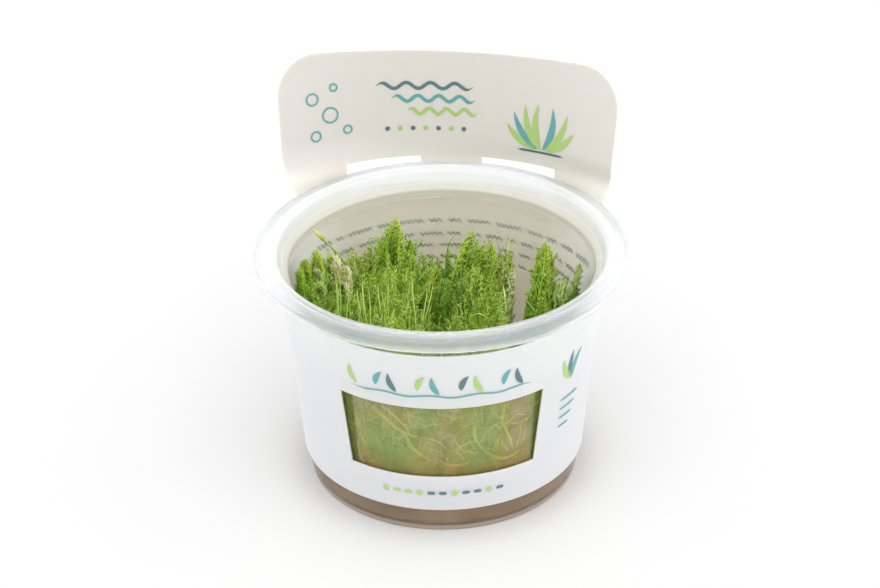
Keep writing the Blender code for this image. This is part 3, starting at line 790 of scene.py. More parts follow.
def print_marks(name, marks, face):
    """Bends all marks of one face onto the card. Each is (stroke, colour); face is 1 outside, -1 inside."""
    points, triangles, colours, start = [], [], [], 0
    for (path, half), colour in marks:
        flat, faces = ribbon(path, half)
        turn, z = flat[:, 0] / CARD_REACH, flat[:, 1]
        away = face * (CARD_THICK / 2 + flat[:, 2])
        points.append(card_point(turn, z) + card_outward(turn, z) * away[:, None])
        triangles.append(faces + start)
        colours.append(np.tile(colour, (len(flat), 1)))
        start += len(flat)
    points, triangles = np.vstack(points), facing_out(np.vstack(points), np.vstack(triangles))
    make_piece(name, points, triangles, ink.material, colours=np.vstack(colours), sharp=30.0)


ink = Surface("printing_ink", roughness=0.42)
ink_grain = ink.noise(2500.0)
ink.link(ink.mix(ink.scaled(ink_grain, 0.0, 0.16), ink.tint(), (0.8, 0.8, 0.77)), "Base Color")
ink.bump(ink_grain, 0.1, 0.0001)
print("a bubble is a ribbon of", len(ribbon(*ring_mark(0.0, 0.0, 1.0, 0.2))[1]), "triangles")

# %% [markdown]
# The header's front carries the largest marks: a fan of leaves on the right, waves and a row of dots in the
# middle and bubbles on the left. They share a few inks in a repeating order, and the leaves' lengths are
# drawn at random.

# %% The header's marks
INKS = (DARK_TEAL, TEAL, LIGHT_GREEN)
FAN_LEANS, FAN_X, FAN_FOOT, FAN_LENGTH, FAN_BOW = (-52, -34, -18, -4, 12, 30, 50), 21.0, 59.5, 11.5, 0.1
BUBBLES = ((-31.0, 62.0, 1.1), (-27.5, 66.5, 1.7), (-31.5, 70.5, 1.3), (-26.6, 72.8, 0.8), (-23.6, 62.8, 0.9))
MARK_SEED = 11
rng = np.random.default_rng(MARK_SEED)
header_marks = []
for k, lean in enumerate(FAN_LEANS):
    length = FAN_LENGTH - 0.05 * abs(lean) + rng.uniform(-0.6, 0.6)
    bow = FAN_BOW if k > 3 else -FAN_BOW
    leaf = leaf_mark(FAN_X + 0.5 * (k - 3), FAN_FOOT, length, lean, 0.75, bow)
    header_marks.append((leaf, TEAL if k % 3 == 1 else LIGHT_GREEN))
header_marks.append((dash(FAN_X, FAN_FOOT - 0.6, 11.0, 0.28), DARK_TEAL))
header_marks.extend((ring_mark(*bubble, 0.22), TEAL) for bubble in BUBBLES)
for k, colour in enumerate(INKS):
    header_marks.append((wave_mark(-6.0 + 2.0 * k, 72.5 - 3.1 * k, 22.0 - 3.0 * k, 0.7, 4, 0.42), colour))
for k in range(7):
    header_marks.append((dot_mark(-14.5 + 2.9 * k, 62.2, 0.55), (DARK_TEAL, LIGHT_GREEN)[k % 2]))
print_marks("header_marks", header_marks, -1.0)

# %% [markdown]
# The sleeve has a row of small leaves on a wave above the window, a row of dots and dashes below it, and a
# little plant with dashes under it on its right side.

# %% The sleeve's marks
ABOVE_WINDOW, BELOW_WINDOW, LEAF_PITCH, DASH_PITCH, SIDE_OFF = 37.2, 10.9, 4.6, 2.7, 33.0
front_along = WINDOW_MIDDLE * CARD_REACH
sleeve_marks = []
for k in range(9):
    x, odd = front_along + (k - 4) * LEAF_PITCH, k % 2
    leaf = leaf_mark(x + 0.5, ABOVE_WINDOW + 0.9 * odd, 4.6 - 0.8 * odd, -24 if odd else 20, 0.62)
    sleeve_marks.append((leaf, INKS[k % 3]))
sleeve_marks.append((wave_mark(front_along, 36.6, 40.0, 0.25, 4, 0.2), TEAL))
for k in range(11):
    x = front_along + (k - 5) * DASH_PITCH
    if k % 3 == 1:
        sleeve_marks.append((dot_mark(x, BELOW_WINDOW, 0.75), LIGHT_GREEN))
    else:
        sleeve_marks.append((dash(x, BELOW_WINDOW, 1.9, 0.42), DARK_TEAL if k < 7 else LIGHT_GREEN))
side_along = front_along - SIDE_OFF
for lean, colour in zip((-30, 0, 30), (TEAL, DARK_TEAL, LIGHT_GREEN)):
    sleeve_marks.append((leaf_mark(side_along, 32.0, 7.0, lean, 0.8), colour))
for k in range(4):
    sleeve_marks.append((dash(side_along + 0.5 * k, 27.5 - 2.3 * k, 7.0 - k, 0.3), TEAL))
print_marks("sleeve_marks", sleeve_marks, 1.0)

# %% [markdown]
# Inside the sleeve, small grey-green marks show through the clear wall in rows. They are short runs of
# ripples with gaps between them, whose numbers are drawn at random.

# %% The marks inside the sleeve
INNER_ROWS, INNER_START, RIPPLE = (40.9, 38.0, 35.2, 32.3), 35.0, 1.15
inner_marks = []
for row, z in enumerate(INNER_ROWS):
    x = -INNER_START + 4.0 * (row % 2) + 2.0 * row
    while x < INNER_START - 3.0 * row:
        ripples = int(rng.integers(2, 7))
        length = RIPPLE * ripples
        inner_marks.append((wave_mark(x + length / 2, z, length, 0.34, ripples, 0.14, steps=9), GREY_GREEN))
        x += length + rng.uniform(0.8, 1.3)
print_marks("inner_marks", inner_marks, -1.0)

# %% [markdown]
# The moss is a crowd of thin shoots, each a soft stem clothed in tiny overlapping leaves. Hair particles
# would give stems without leaves, and a scattered model would be heavy, so all shoots are computed at once:
# one cubic curve each, a flat core round it, and slim leaves of four faces along it.

# %% Curves, cores and leaves as whole arrays
CORE_TIMES, CORE_FLAT = np.linspace(0.0, 1.0, 9), 0.4


def cubic(controls, t):
    """Points of many cubic Bezier curves, from controls (shoots, 4, 3), at the shares t of the way."""
    t = np.asarray(t)[None, :, None]
    a, b, c, d = (controls[:, k][:, None, :] for k in range(4))
    return (1 - t) ** 3 * a + 3 * t * (1 - t) ** 2 * b + 3 * t * t * (1 - t) * c + t**3 * d


def axes_along(points, facing):
    """Three directions at each point of each curve: along it, across the shoot's flat, and out of it."""
    along = unit(np.gradient(points, axis=1))
    across = unit(np.cross(along, facing[:, None, :]))
    return along, across, np.cross(across, along)


def repeated(faces, count, size):
    """The same faces for many copies of a shape of size points that follow each other."""
    return (faces[None] + (np.arange(count) * size)[:, None, None]).reshape(-1, 3)


def cores(points, facing, radius):
    """Four-sided tubes: a ring is the curve's point plus and minus the radius across, and less outwards."""
    shoots, count = points.shape[:2]
    _, across, out = axes_along(points, facing)
    ring = np.stack([across, CORE_FLAT * out, -across, -CORE_FLAT * out], 2)
    rings = points[:, :, None] + ring * radius[..., None, None]
    return rings.reshape(-1, 3), repeated(bar_faces(count), shoots, 4 * count)


LEAF_SHAPE = np.array([[0, 0, 0], [0.3, 0.5, 0.25], [1, 0, 0.1], [0.3, -0.5, 0.25]])
LEAF_FACES = np.array([[0, 2, 1], [0, 1, 3], [0, 3, 2], [1, 2, 3]])


def leaves(rng, points, facing, length, breadth, spread):
    """Slim leaves: each leaves the core at about the spread angle, on alternate sides, and turns a little.

    Its four corners are the foot, two raised edges and the tip, placed along the leaf by its length, and
    across it and out of the shoot's flat by its breadth.
    """
    shoots, count = points.shape[:2]
    along, across, out = axes_along(points, facing)
    turn = np.pi * (np.arange(count) % 2) + rng.normal(0.0, 0.7, (shoots, count))
    side = np.cos(turn)[..., None] * across + np.sin(turn)[..., None] * out
    up = np.cos(turn)[..., None] * out - np.sin(turn)[..., None] * across
    angle = spread[:, None] * rng.uniform(0.2, 1.5, (shoots, count))
    way = np.cos(angle)[..., None] * along + np.sin(angle)[..., None] * side
    size = length * rng.uniform(0.6, 1.25, (shoots, count))
    wide = breadth[:, None] * rng.uniform(0.7, 1.2, (shoots, count))
    parts = [way * size[..., None], np.cross(up, way) * wide[..., None], up * wide[..., None]]
    corners = points[:, :, None] + sum(p[:, :, None] * LEAF_SHAPE[:, k : k + 1] for k, p in enumerate(parts))
    return corners.reshape(-1, 3), repeated(LEAF_FACES, shoots * count, 4)


print("a shoot's core has", len(CORE_TIMES), "rings, and each of its leaves has", len(LEAF_FACES), "faces")

# %% [markdown]
# Wet moss is many greens at once. Each shoot has its own tint, carried by its points, and one material serves
# them all: slightly translucent, with a soft gloss and a slow noise that makes patches lighter or darker. One
# material for each green would need as many meshes. The feet are darker and greener, partly as old parts of
# real shoots are and partly as painted shade deep in the moss. The tips carry a little painted light, and
# each leaf has painted shade at its foot and painted light at its tip.

# %% Moss colours, material and meshes
MOSS_TINTS = {
    "dark": (0.19, 0.38, 0.03), "mid": (0.30, 0.56, 0.03), "bright": (0.47, 0.69, 0.05),
    "yellow": (0.60, 0.70, 0.14), "fresh": (0.60, 0.82, 0.20), "young": (0.44, 0.62, 0.13),
    "pale": (0.76, 0.82, 0.36), "bleached": (1.0, 0.92, 0.42), "brown": (0.34, 0.23, 0.10),
}
# The foot's share is partly the older tone of real feet and partly painted shade; the tip's share is painted
# light.
FOOT_TONE_AND_SHADE, TIP_PAINTED_LIGHT, FULL_AT = np.array([0.6, 0.76, 0.5]), 1.08, 0.8
# Each leaf's corners: painted shade at its foot, in the axil, and painted light at its tip.
LEAF_PAINTED_SHADING = np.array([0.92, 1.0, 1.06, 1.0])
LOWEST_LEAF, HIGHEST_LEAF = 0.06, 0.98
moss = Surface("wet_moss", roughness=0.5, subsurface_weight=0.35, subsurface_scale=0.0006)
moss.set("Specular IOR Level", 0.18)
moss.set("Subsurface Radius", (0.9, 1.0, 0.7))
moss_patch = moss.scaled(moss.noise(420.0), 0.85, 1.12, 0.3, 0.7)
moss_grey = moss.node("CombineColor", dict.fromkeys(("Red", "Green", "Blue"), moss_patch)).outputs[0]
moss.link(moss.mix(1.0, moss.tint(), moss_grey, "MULTIPLY"), "Base Color")
moss.bump(moss.noise(2600.0, detail=2.0), 0.15, 0.0001)


def shoot_piece(name, node, rng, controls, tint, radius, count=0, leaf=0, wide=0, spread=0, facing=None):
    """One mesh of many shoots: cores from their feet to their tips, with count leaves above the lowest share.

    radius, leaf, wide and spread may be one number or one for each shoot. A facing not given is drawn.
    """
    shoots = len(controls)
    if facing is None:
        turn = rng.uniform(0.0, TURN, shoots)
        facing = np.stack([np.cos(turn), np.sin(turn), rng.normal(0.0, 0.2, shoots)], -1)
    each = (np.broadcast_to(value, shoots).astype(float) for value in (leaf, wide, spread, radius))
    leaf, wide, spread, radius = each

    def shade(t):
        """Tint at the share t of the way: darker and greener at the foot, by age and painted shade, and a
        little lighter near the tip by painted light.
        """
        return tint[:, None] * blend(FOOT_TONE_AND_SHADE, TIP_PAINTED_LIGHT, smooth_step(t / FULL_AT)[:, None])

    thick = radius[:, None] * np.sqrt(np.clip(1.0 - CORE_TIMES**2, 0.003, 1.0))
    core_points, core_faces = cores(cubic(controls, CORE_TIMES), facing, thick)
    points, triangles = [core_points], [facing_out(core_points, core_faces)]
    colours = [np.repeat(shade(CORE_TIMES).reshape(-1, 3), 4, axis=0)]
    if count > 0:
        leaf_t = np.linspace(LOWEST_LEAF, HIGHEST_LEAF, count)
        near_tip, near_foot = 0.45 + 4.0 * (1.0 - leaf_t), 0.5 + 3.0 * (leaf_t - LOWEST_LEAF)
        length = leaf[:, None] * (np.minimum(1.0, near_tip) * np.minimum(1.0, near_foot))
        leaf_points, leaf_faces = leaves(rng, cubic(controls, leaf_t), facing, length, wide, spread)
        own = shade(leaf_t) * rng.uniform(0.92, 1.08, (shoots, count, 1))
        points.append(leaf_points)
        triangles.append(facing_out(leaf_points, leaf_faces) + len(core_points))
        colours.append((own[:, :, None] * LEAF_PAINTED_SHADING[:, None]).reshape(-1, 3))
    colours = np.clip(np.vstack(colours), 0, 1)
    piece = make_piece(name, np.vstack(points), np.vstack(triangles), moss.material, colours=colours)
    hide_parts(node)


print("the moss has", len(MOSS_TINTS), "greens and browns")

# %% [markdown]
# The shoots stand where the moss does: a wide clump, cut off on the right, and a narrow tuft beyond a gap.
# The upper outline of the moss in the photograph gives its height: the line is read at each place's own
# column, held up to a ridge, and lowered in front of the ridge and behind it.

# %% How tall the moss grows at each place
CLUMP_EDGE, TUFT_EDGE = 14.4, 19.6
SKYLINE = np.array([
    (296, 290), (300, 270), (306, 256), (312, 252), (324, 258), (334, 252), (350, 255), (362, 250),
    (376, 244), (385, 234), (396, 222), (406, 234), (414, 244), (424, 256), (434, 262), (444, 256),
    (456, 250), (468, 240), (478, 246), (490, 243), (502, 248), (509, 262), (514, 290), (519, 325),
    (524, 312), (531, 284), (538, 260), (545, 246), (550, 252), (555, 282), (566, 282), (575, 274),
    (581, 265), (586, 270), (592, 286),
], float)
RIDGE = np.array([(296, 1), (330, 8), (370, 13), (520, 13), (545, 9), (585, 3)], float)
FALL_FRONT, FALL_BACK = 2.75, 1.0
TOP_USUAL, TOP_LOWEST, TOP_HIGHEST = 38.0, 19.0, 47.0
FIELD, WALL_MARGIN = 34.0, 1.2


def moss_top(x, y):
    """Height of the tips over places in the cup: where the skyline's row is seen at the place's depth.

    The row is lowered in proportion to how far the place lies in front of the ridge or behind it. A place's
    column is read at the usual height.
    """
    u, _, depth = to_pixel(np.stack([x, y, np.full_like(x, TOP_USUAL)], -1))
    front = np.interp(u, *RIDGE.T) - depth
    row = np.interp(u, *SKYLINE.T) + FALL_FRONT * np.maximum(front, 0.0) - FALL_BACK * np.minimum(front, 0.0)
    return np.clip(at_pixel(u, row, depth)[..., 2], TOP_LOWEST, TOP_HIGHEST)


def feet(rng, spacing, reach, low_x, high_x):
    """A grid shaken by a third of its spacing, kept inside the cup and between two x limits."""
    line = np.arange(-FIELD, FIELD, spacing)
    x, y = np.meshgrid(line, line)
    x = x.ravel() + rng.normal(0.0, spacing / 3, x.size)
    y = y.ravel() + rng.normal(0.0, spacing / 3, y.size)
    keep = (np.hypot(x, y) < reach) & (x > low_x) & (x < high_x)
    return x[keep], y[keep]


def held_inside(controls):
    """Draws points in towards the axis wherever they would come nearer the wall than the margin."""
    limit = inner_radius(controls[..., 2]) - WALL_MARGIN
    radius = np.hypot(controls[..., 0], controls[..., 1])
    controls[..., :2] *= np.minimum(1.0, limit / np.maximum(radius, TINY))[..., None]
    return controls


print("over the cup's middle the moss is", round(float(moss_top(np.zeros(1), np.zeros(1))[0]), 1), "mm high")

# %% [markdown]
# Wet moss draws together into pointed bundles, so the shoots come in bundles of nine that lean towards one
# tip and share a tint. Shoots scattered one by one would look like a lawn. The tint goes by the place in the
# picture: darker on the far left and in two hollows, where the darker share is painted shade, bright in the
# middle, yellower towards the right. It is drawn from four usual greens, whose shares are listed by picture
# columns.

# %% Bundles of shoots
BUNDLE = 9
SHORTER_BY, LOWEST_FOOT, LONGEST = 0.34, 14.0, 22.0
CONTROL_SHARES, CONTROL_SWAYS = (0.0, 0.3, 0.68, 1.0), (0.0, 1.0, 1.0, 0.3)


def bundled(rng, x, y, top, members, foot_spread=2.0, tip_spread=0.8, lean=1.8, bend=0.8):
    """Controls of bundles of shoots: feet round the bundle's foot, tips round its tip, and a bend between.

    Each member reaches a random share of its bundle's height, and a shorter one ends further out.
    """
    tips = np.stack([x, y], -1) + rng.normal(0.0, lean, (len(x), 2))
    bundle = np.repeat(np.arange(len(x)), members)
    n = len(bundle)
    reach = 1.0 - SHORTER_BY * rng.beta(1.0, 1.4, n)
    foot = np.stack([x, y], -1)[bundle] + rng.normal(0.0, foot_spread, (n, 2))
    tip = tips[bundle] + rng.normal(0.0, 1.0, (n, 2)) * (tip_spread + 3.0 * (1.0 - reach))[:, None]
    high = top[bundle] * reach
    low = np.maximum(LOWEST_FOOT, high - LONGEST)
    controls = np.zeros((n, 4, 3))
    for k, (share, sway) in enumerate(zip(CONTROL_SHARES, CONTROL_SWAYS)):
        moved = rng.normal(0.0, bend, (n, 2)) * sway
        controls[:, k, :2] = foot + (tip - foot) * share**0.8 + moved
        controls[:, k, 2] = low + (high - low) * share
    return held_inside(controls), bundle


TINT_COLUMNS = (296, 322, 345, 395, 430, 445, 460, 480, 500, 515, 530, 545, 590)
TINT_SHARES = {
    # The dark share's peaks at columns 445 and 530 paint the shade of two hollows.
    "dark": (1.6, 1.3, 0.5, 0.3, 0.8, 2.2, 0.9, 0.9, 0.3, 0.3, 1.2, 0.5, 0.3),
    "mid": (1.0, 1.2, 1.2, 1.0, 1.5, 1.2, 1.2, 1.2, 1.0, 0.8, 1.5, 1.6, 1.2),
    "bright": (1.2, 1.3, 1.6, 2.6, 1.8, 1.0, 2.0, 1.5, 1.6, 1.4, 1.2, 2.0, 2.4),
    "yellow": (0.1, 0.3, 1.0, 0.8, 0.5, 0.3, 0.6, 0.6, 1.6, 1.8, 0.2, 0.4, 0.8),
}
PALETTE = np.array([MOSS_TINTS[name] for name in TINT_SHARES])


def shares_at(column):
    """The usual shares of the tints at picture columns, read between the listed ones."""
    shares = np.stack([np.interp(column, TINT_COLUMNS, row) for row in TINT_SHARES.values()], -1)
    return shares / shares.sum(-1, keepdims=True)


def place_tints(rng, controls, bundle, own=0.3):
    """Tints by the column at which a bundle's tips are seen: random shares about that column's own ones."""
    column = to_pixel(controls[:, 3])[0]
    middle = np.bincount(bundle, column) / np.bincount(bundle)
    common = rng.standard_gamma(2.0 * shares_at(middle))
    single = rng.standard_gamma(9.0 * shares_at(column))
    common = (common / common.sum(1, keepdims=True))[bundle]
    single = single / single.sum(1, keepdims=True)
    return ((1.0 - own) * common + own * single) @ PALETTE


print("the tints at column 400 are", dict(zip(TINT_SHARES, shares_at(400.0).round(2).tolist())))

# %% [markdown]
# The clump fills most of the cup, up to a straight edge on the right where it has shrunk from the tuft. It
# is one tangle, but it is cut into three meshes by depth, because smaller meshes are easier to handle. One
# shoot copied by an instancer would be lighter still, but then no two shoots could bend differently.

# %% The main clump
MOSS_SEED, OUTSIDE = 7, 40.0
BANDS = (("clump_front", -OUTSIDE, -8.0), ("clump_middle", -8.0, 7.0), ("clump_back", 7.0, OUTSIDE))
rng = np.random.default_rng(MOSS_SEED)
x, y = feet(rng, 3.3, 29.4, -OUTSIDE, CLUMP_EDGE - 0.8)
high = moss_top(x, y) * rng.uniform(0.92, 1.05, len(x))
controls, bundle = bundled(rng, x, y, high, BUNDLE, tip_spread=1.1, bend=1.3)
controls[..., 0] = np.minimum(controls[..., 0], CLUMP_EDGE)
tint = place_tints(rng, controls, bundle)
depth = to_pixel(controls[:, 3])[2]
for name, low_y, high_y in BANDS:
    band = (depth > low_y) & (depth <= high_y)
    n = int(band.sum())
    shoot_piece(
        name, "moss_clump", rng, controls[band], tint[band],
        leaf=rng.uniform(1.3, 2.1, n), wide=rng.uniform(0.42, 0.62, n), spread=0.5, count=30,
        radius=rng.uniform(0.25, 0.45, n),
    )

# %% [markdown]
# The tuft beyond the gap is a narrow column of the same shoots, which stand closer and lean less. It is a
# body of its own, so that the gap stays open down to the gel, as in the photograph.

# %% The tuft
x, y = feet(rng, 2.6, 29.8, TUFT_EDGE + 0.6, OUTSIDE)
high = moss_top(x, y) * rng.uniform(0.9, 1.02, len(x))
controls, bundle = bundled(rng, x, y, high, BUNDLE, 1.4, 0.7, 0.6, 0.6)
controls[..., 0] = np.maximum(controls[..., 0], TUFT_EDGE)
tint = place_tints(rng, controls, bundle)
n = len(controls)
shoot_piece(
    "tuft_shoots", "moss_tuft", rng, controls, tint, leaf=rng.uniform(1.3, 2.1, n), wide=0.5, spread=0.42,
    count=30, radius=rng.uniform(0.25, 0.5, n),
)

# %% [markdown]
# Side shoots fill the space between the bundles with soft leafy fuzz. Each is a sprig of a few millimetres
# that stands off at any angle just under the tips, with leaves that spread widely.

# %% Leafy sprigs near the tips
def sprigs(rng, x, y, sink):
    """Controls of short shoots: each starts a way under the moss's top and points up and aside at random.

    The tip is the foot plus a length along a direction, and the two controls between are moved aside. In the
    clump they are held to the left of its edge.
    """
    length = rng.uniform(4.0, 8.5, len(x))
    foot = np.stack([x, y, moss_top(x, y) - sink - 0.8 * length], -1)
    way = unit(np.column_stack([rng.normal(0.0, 0.5, (len(x), 2)), np.ones(len(x))]))
    shares = np.linspace(0.0, 1.0, 4)[:, None]
    controls = foot[:, None] + way[:, None] * shares * length[:, None, None]
    controls[:, 1:3] += rng.normal(0.0, 0.6, (len(x), 2, 3))
    if x[0] < CLUMP_EDGE:
        controls[..., 0] = np.minimum(controls[..., 0], CLUMP_EDGE)
    return held_inside(controls)


def sprig_piece(name, node, rng, x, y, deepest):
    """A mesh of sprigs at the places, each sunk by up to the deepest and darkened by painted shade the deeper
    it sits.
    """
    sink = deepest * rng.beta(1.0, 1.6, len(x))
    controls = sprigs(rng, x, y, sink)
    # Deeper sprigs are darkened: painted shade.
    tint = place_tints(rng, controls, np.arange(len(x)), 0.8) * (1.05 - 0.35 * sink / deepest)[:, None]
    shoot_piece(name, node, rng, controls, tint, 0.22, 16, leaf=1.6, wide=0.42, spread=0.5)


for name, low_y, high_y in (("sprigs_front", -OUTSIDE, 0.0), ("sprigs_back", 0.0, OUTSIDE)):
    x, y = feet(rng, 1.9, 29.6, -OUTSIDE, CLUMP_EDGE - 0.5)
    band = (y > low_y) & (y <= high_y)
    sprig_piece(name, "moss_clump", rng, x[band], y[band], 7.0)
x, y = feet(rng, 1.8, 29.8, TUFT_EDGE + 0.6, OUTSIDE)
sprig_piece("tuft_sprigs", "moss_tuft", rng, x, y, 6.0)

# %% [markdown]
# Between the bundles run smooth young strands, paler and without leaves, and a few hair-fine threads that
# curl over at their tips. They are the same flattened cores, only thinner, with no leaves on them. Curve
# objects with a bevel could be used, but these share the shoots' code, tints and material.

# %% Strands and threads
x, y = feet(rng, 2.7, 28.5, -OUTSIDE, CLUMP_EDGE)
high = moss_top(x, y) * rng.uniform(0.78, 0.98, len(x))
controls, bundle = bundled(rng, x, y, high, 1, 0.5, 1.6, 1.8, 1.4)
controls[..., 0] = np.minimum(controls[..., 0], CLUMP_EDGE)
tint = 0.4 * place_tints(rng, controls, bundle) + 0.6 * np.array(MOSS_TINTS["fresh"])
shoot_piece("young_strands", "moss_clump", rng, controls, tint, rng.uniform(0.2, 0.38, len(controls)))
x, y = feet(rng, 4.2, 27.0, -OUTSIDE, CLUMP_EDGE)
high = moss_top(x, y) * rng.uniform(0.93, 1.07, len(x))
controls, bundle = bundled(rng, x, y, high, 1, 0.5, 2.5, 3.0, 2.6)
controls[:, 3, 2] -= rng.uniform(-0.5, 3.5, len(controls))
tint = 0.6 * place_tints(rng, controls, bundle) + 0.4 * np.array(MOSS_TINTS["yellow"])
shoot_piece("curled_threads", "moss_clump", rng, controls, tint, 0.17)

# %% [markdown]
# Below the shoots the moss is an older, darker mat, matted together. A lumpy closed form under the leaves
# keeps the clump from looking hollow, where it would take ten times the leaves to close every gap.

# %% The mat under the shoots
MAT_TURNS, MAT_RINGS, MAT_INNER, MAT_OUTER = 96, 22, 0.04, 0.97
MAT_SIDE, MAT_LOW, MAT_FOOT, MAT_WALL = 3.0, 14.4, 13.2, 16.0


def mat(name, node, centre, edge_x, side, under, seed):
    """A closed mound: rings from the centre out to the wall or the straight edge, a way under the tips.

    The top has lumps from crossed sine waves and random numbers, and the foot is flat, near the gel's top.
    """
    rng = np.random.default_rng(seed)
    angle = np.arange(MAT_TURNS) * TURN / MAT_TURNS
    cosine, sine = np.cos(angle), np.sin(angle)
    limit = inner_radius(MAT_WALL) - WALL_MARGIN
    dot = centre[0] * cosine + centre[1] * sine
    reach = -dot + np.sqrt(dot**2 - centre[0] ** 2 - centre[1] ** 2 + limit**2)
    straight = (edge_x - centre[0]) / np.where(cosine * side > TINY, cosine, np.inf * side)
    reach = np.where(cosine * side > TINY, np.minimum(reach, straight), reach)
    share = np.concatenate([np.linspace(MAT_INNER, MAT_OUTER, MAT_RINGS), [1.0, 1.0, MAT_OUTER]])
    x = centre[0] + share[:, None] * reach * cosine
    y = centre[1] + share[:, None] * reach * sine
    lumps = np.sin(0.9 * x + 1.7) * np.sin(0.8 * y) + 0.6 * np.sin(1.9 * x - 1.1 * y)
    z = moss_top(x, y) - under + (lumps + rng.normal(0.0, 0.5, x.shape))
    z[MAT_RINGS] = z[MAT_RINGS - 1] - MAT_SIDE
    z[MAT_RINGS + 1], z[MAT_RINGS + 2] = MAT_LOW, MAT_FOOT
    poles = [[*centre, z[0].mean()], [*centre, MAT_FOOT]]
    points = np.vstack([np.stack([x, y, z], -1).reshape(-1, 3), poles])
    k = np.arange(MAT_TURNS)
    n = (k + 1) % MAT_TURNS
    foot = (len(share) - 1) * MAT_TURNS
    top_fan = np.stack([np.full(MAT_TURNS, len(points) - 2), k, n], -1)
    foot_fan = np.stack([np.full(MAT_TURNS, len(points) - 1), foot + n, foot + k], -1)
    walls = split_quads(grid_faces(len(share), MAT_TURNS, wrap=True))
    faces = facing_out(points, np.vstack([walls, top_fan, foot_fan]))
    colours = shares_at(to_pixel(points)[0]) @ PALETTE
    piece = make_piece(name, points, faces, old.material, colours=colours)
    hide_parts(node)


old = Surface("old_matted_moss", roughness=0.6, specular_ior_level=0.2)
old_grain = old.noise(700.0, detail=6.0, roughness=0.7, stretch=(1, 1, 0.35))
old_shade = old.ramp(old_grain, [(0.32, (0.35, 0.4, 0.35)), (0.5, (0.62, 0.7, 0.6)), (0.72, (1.0, 1.0, 1.0))])
old.link(old.mix(1.0, old.tint(), old_shade, "MULTIPLY"), "Base Color")
old.bump(old_grain, 1.0, 0.0012)
mat("clump_mat", "moss_clump", (-4.0, -1.0), CLUMP_EDGE, 1.0, 5.0, 3)
mat("tuft_mat", "moss_tuft", (24.2, 1.0), TUFT_EDGE, -1.0, 6.0, 4)

# %% [markdown]
# Some fronds give the photograph its outline: the tall one, the hooked tips and the pale stems. Each row has
# three points in the picture, half a width in pixels, the depths of foot and tip, a number of shoots and a
# tint. The camera's own function turns those into places in the cup. The shoots fan out at the foot and meet
# at the tip. Random ones would make as good a clump, but another one.

# %% Fronds placed one by one
FRONDS = [
    ((398, 305), (395, 262), (396, 220), 13, 9, 13, 20, "bright"),
    ((388, 290), (384, 255), (389, 229), 4, 9, 13, 6, "mid"),
    ((412, 300), (411, 268), (411, 240), 6, 9, 12, 7, "mid"),
    ((450, 300), (455, 262), (472, 232), 4, 9, 14, 8, "bright"),
    ((474, 305), (470, 270), (482, 246), 8, 8, 13, 10, "bright"),
    ((488, 305), (490, 275), (492, 245), 7, 7, 12, 9, "bright"),
    ((372, 300), (366, 270), (369, 244), 3, 9, 13, 4, "yellow"),
    ((430, 318), (422, 290), (436, 264), 5, 2, 9, 7, "bright"),
    ((306, 305), (303, 285), (299, 272), 6, -4, 1, 12, "mid"),
    ((312, 305), (309, 278), (305, 261), 9, -2, 4, 18, "bright"),
    ((318, 308), (318, 278), (317, 252), 10, 0, 6, 20, "bright"),
    ((326, 310), (325, 284), (323, 260), 8, 0, 6, 16, "mid"),
    ((330, 300), (331, 276), (330, 256), 7, 3, 8, 12, "bright"),
    ((340, 300), (339, 276), (335, 257), 8, 1, 5, 12, "bleached"),
    ((350, 302), (349, 282), (346, 265), 6, 0, 4, 7, "bleached"),
    ((320, 280), (319, 271), (317, 264), 3, -1, 1, 3, "pale"),
    ((324, 294), (323, 287), (320, 281), 3, -5, -3, 3, "fresh"),
    ((357, 305), (356, 278), (354, 256), 5, 5, 9, 6, "yellow"),
    ((500, 322), (496, 290), (504, 262), 5, 2, 8, 8, "yellow"),
    ((508, 325), (510, 298), (511, 270), 3, 0, 5, 5, "pale"),
    # The two dark fronds low in front are painted shade of the hollow there.
    ((466, 325), (468, 300), (462, 280), 6, -8, -2, 8, "dark"),
    ((444, 320), (440, 298), (444, 280), 6, -6, 0, 8, "dark"),
]
TUFT_FRONDS = [
    ((536, 325), (542, 285), (545, 242), 14, -2, 9, 26, "bright"),
    ((546, 322), (547, 285), (546, 247), 4, -2, 8, 6, "bright"),
    ((527, 325), (534, 292), (541, 262), 5, -2, 7, 7, "mid"),
    ((562, 316), (572, 290), (580, 264), 3, 0, 8, 8, "fresh"),
    ((556, 314), (556, 298), (561, 283), 9, -2, 3, 18, "fresh"),
]


def fronds(rng, rows):
    """Controls and tints of fronds: a curve by three picture points, for shoots set off across it.

    The offset is full at the foot and less at the middle, and a shoot that stops short stays further out.
    The cubic's inner controls lie two thirds of the way from its ends to the middle point.
    """
    controls, tints = [], []
    for foot, middle, tip, half, near, far, members, name in rows:
        across = rng.uniform(-1.0, 1.0, members) * half
        short = rng.exponential(9.0, members)
        aside = rng.normal(0.0, 1.0, members)
        meet = np.minimum(0.9, 0.1 + 0.04 * short)
        tip_u = tip[0] + meet * across + rng.normal(0.0, 0.8, members)
        u = [foot[0] + across, middle[0] + 0.6 * across, tip_u]
        v = [np.full(members, foot[1]), middle[1] + 0.5 * short, tip[1] + short]
        a, b, c = (at_pixel(u[k], v[k], (near, (near + far) / 2, far)[k] + aside) for k in range(3))
        controls.append(np.stack([a, a + (b - a) * 2 / 3, c + (b - c) * 2 / 3, c], 1))
        tints.append(np.array(MOSS_TINTS[name]) * rng.uniform(0.8, 1.15, (members, 1)))
    return held_inside(np.concatenate(controls)), np.concatenate(tints)


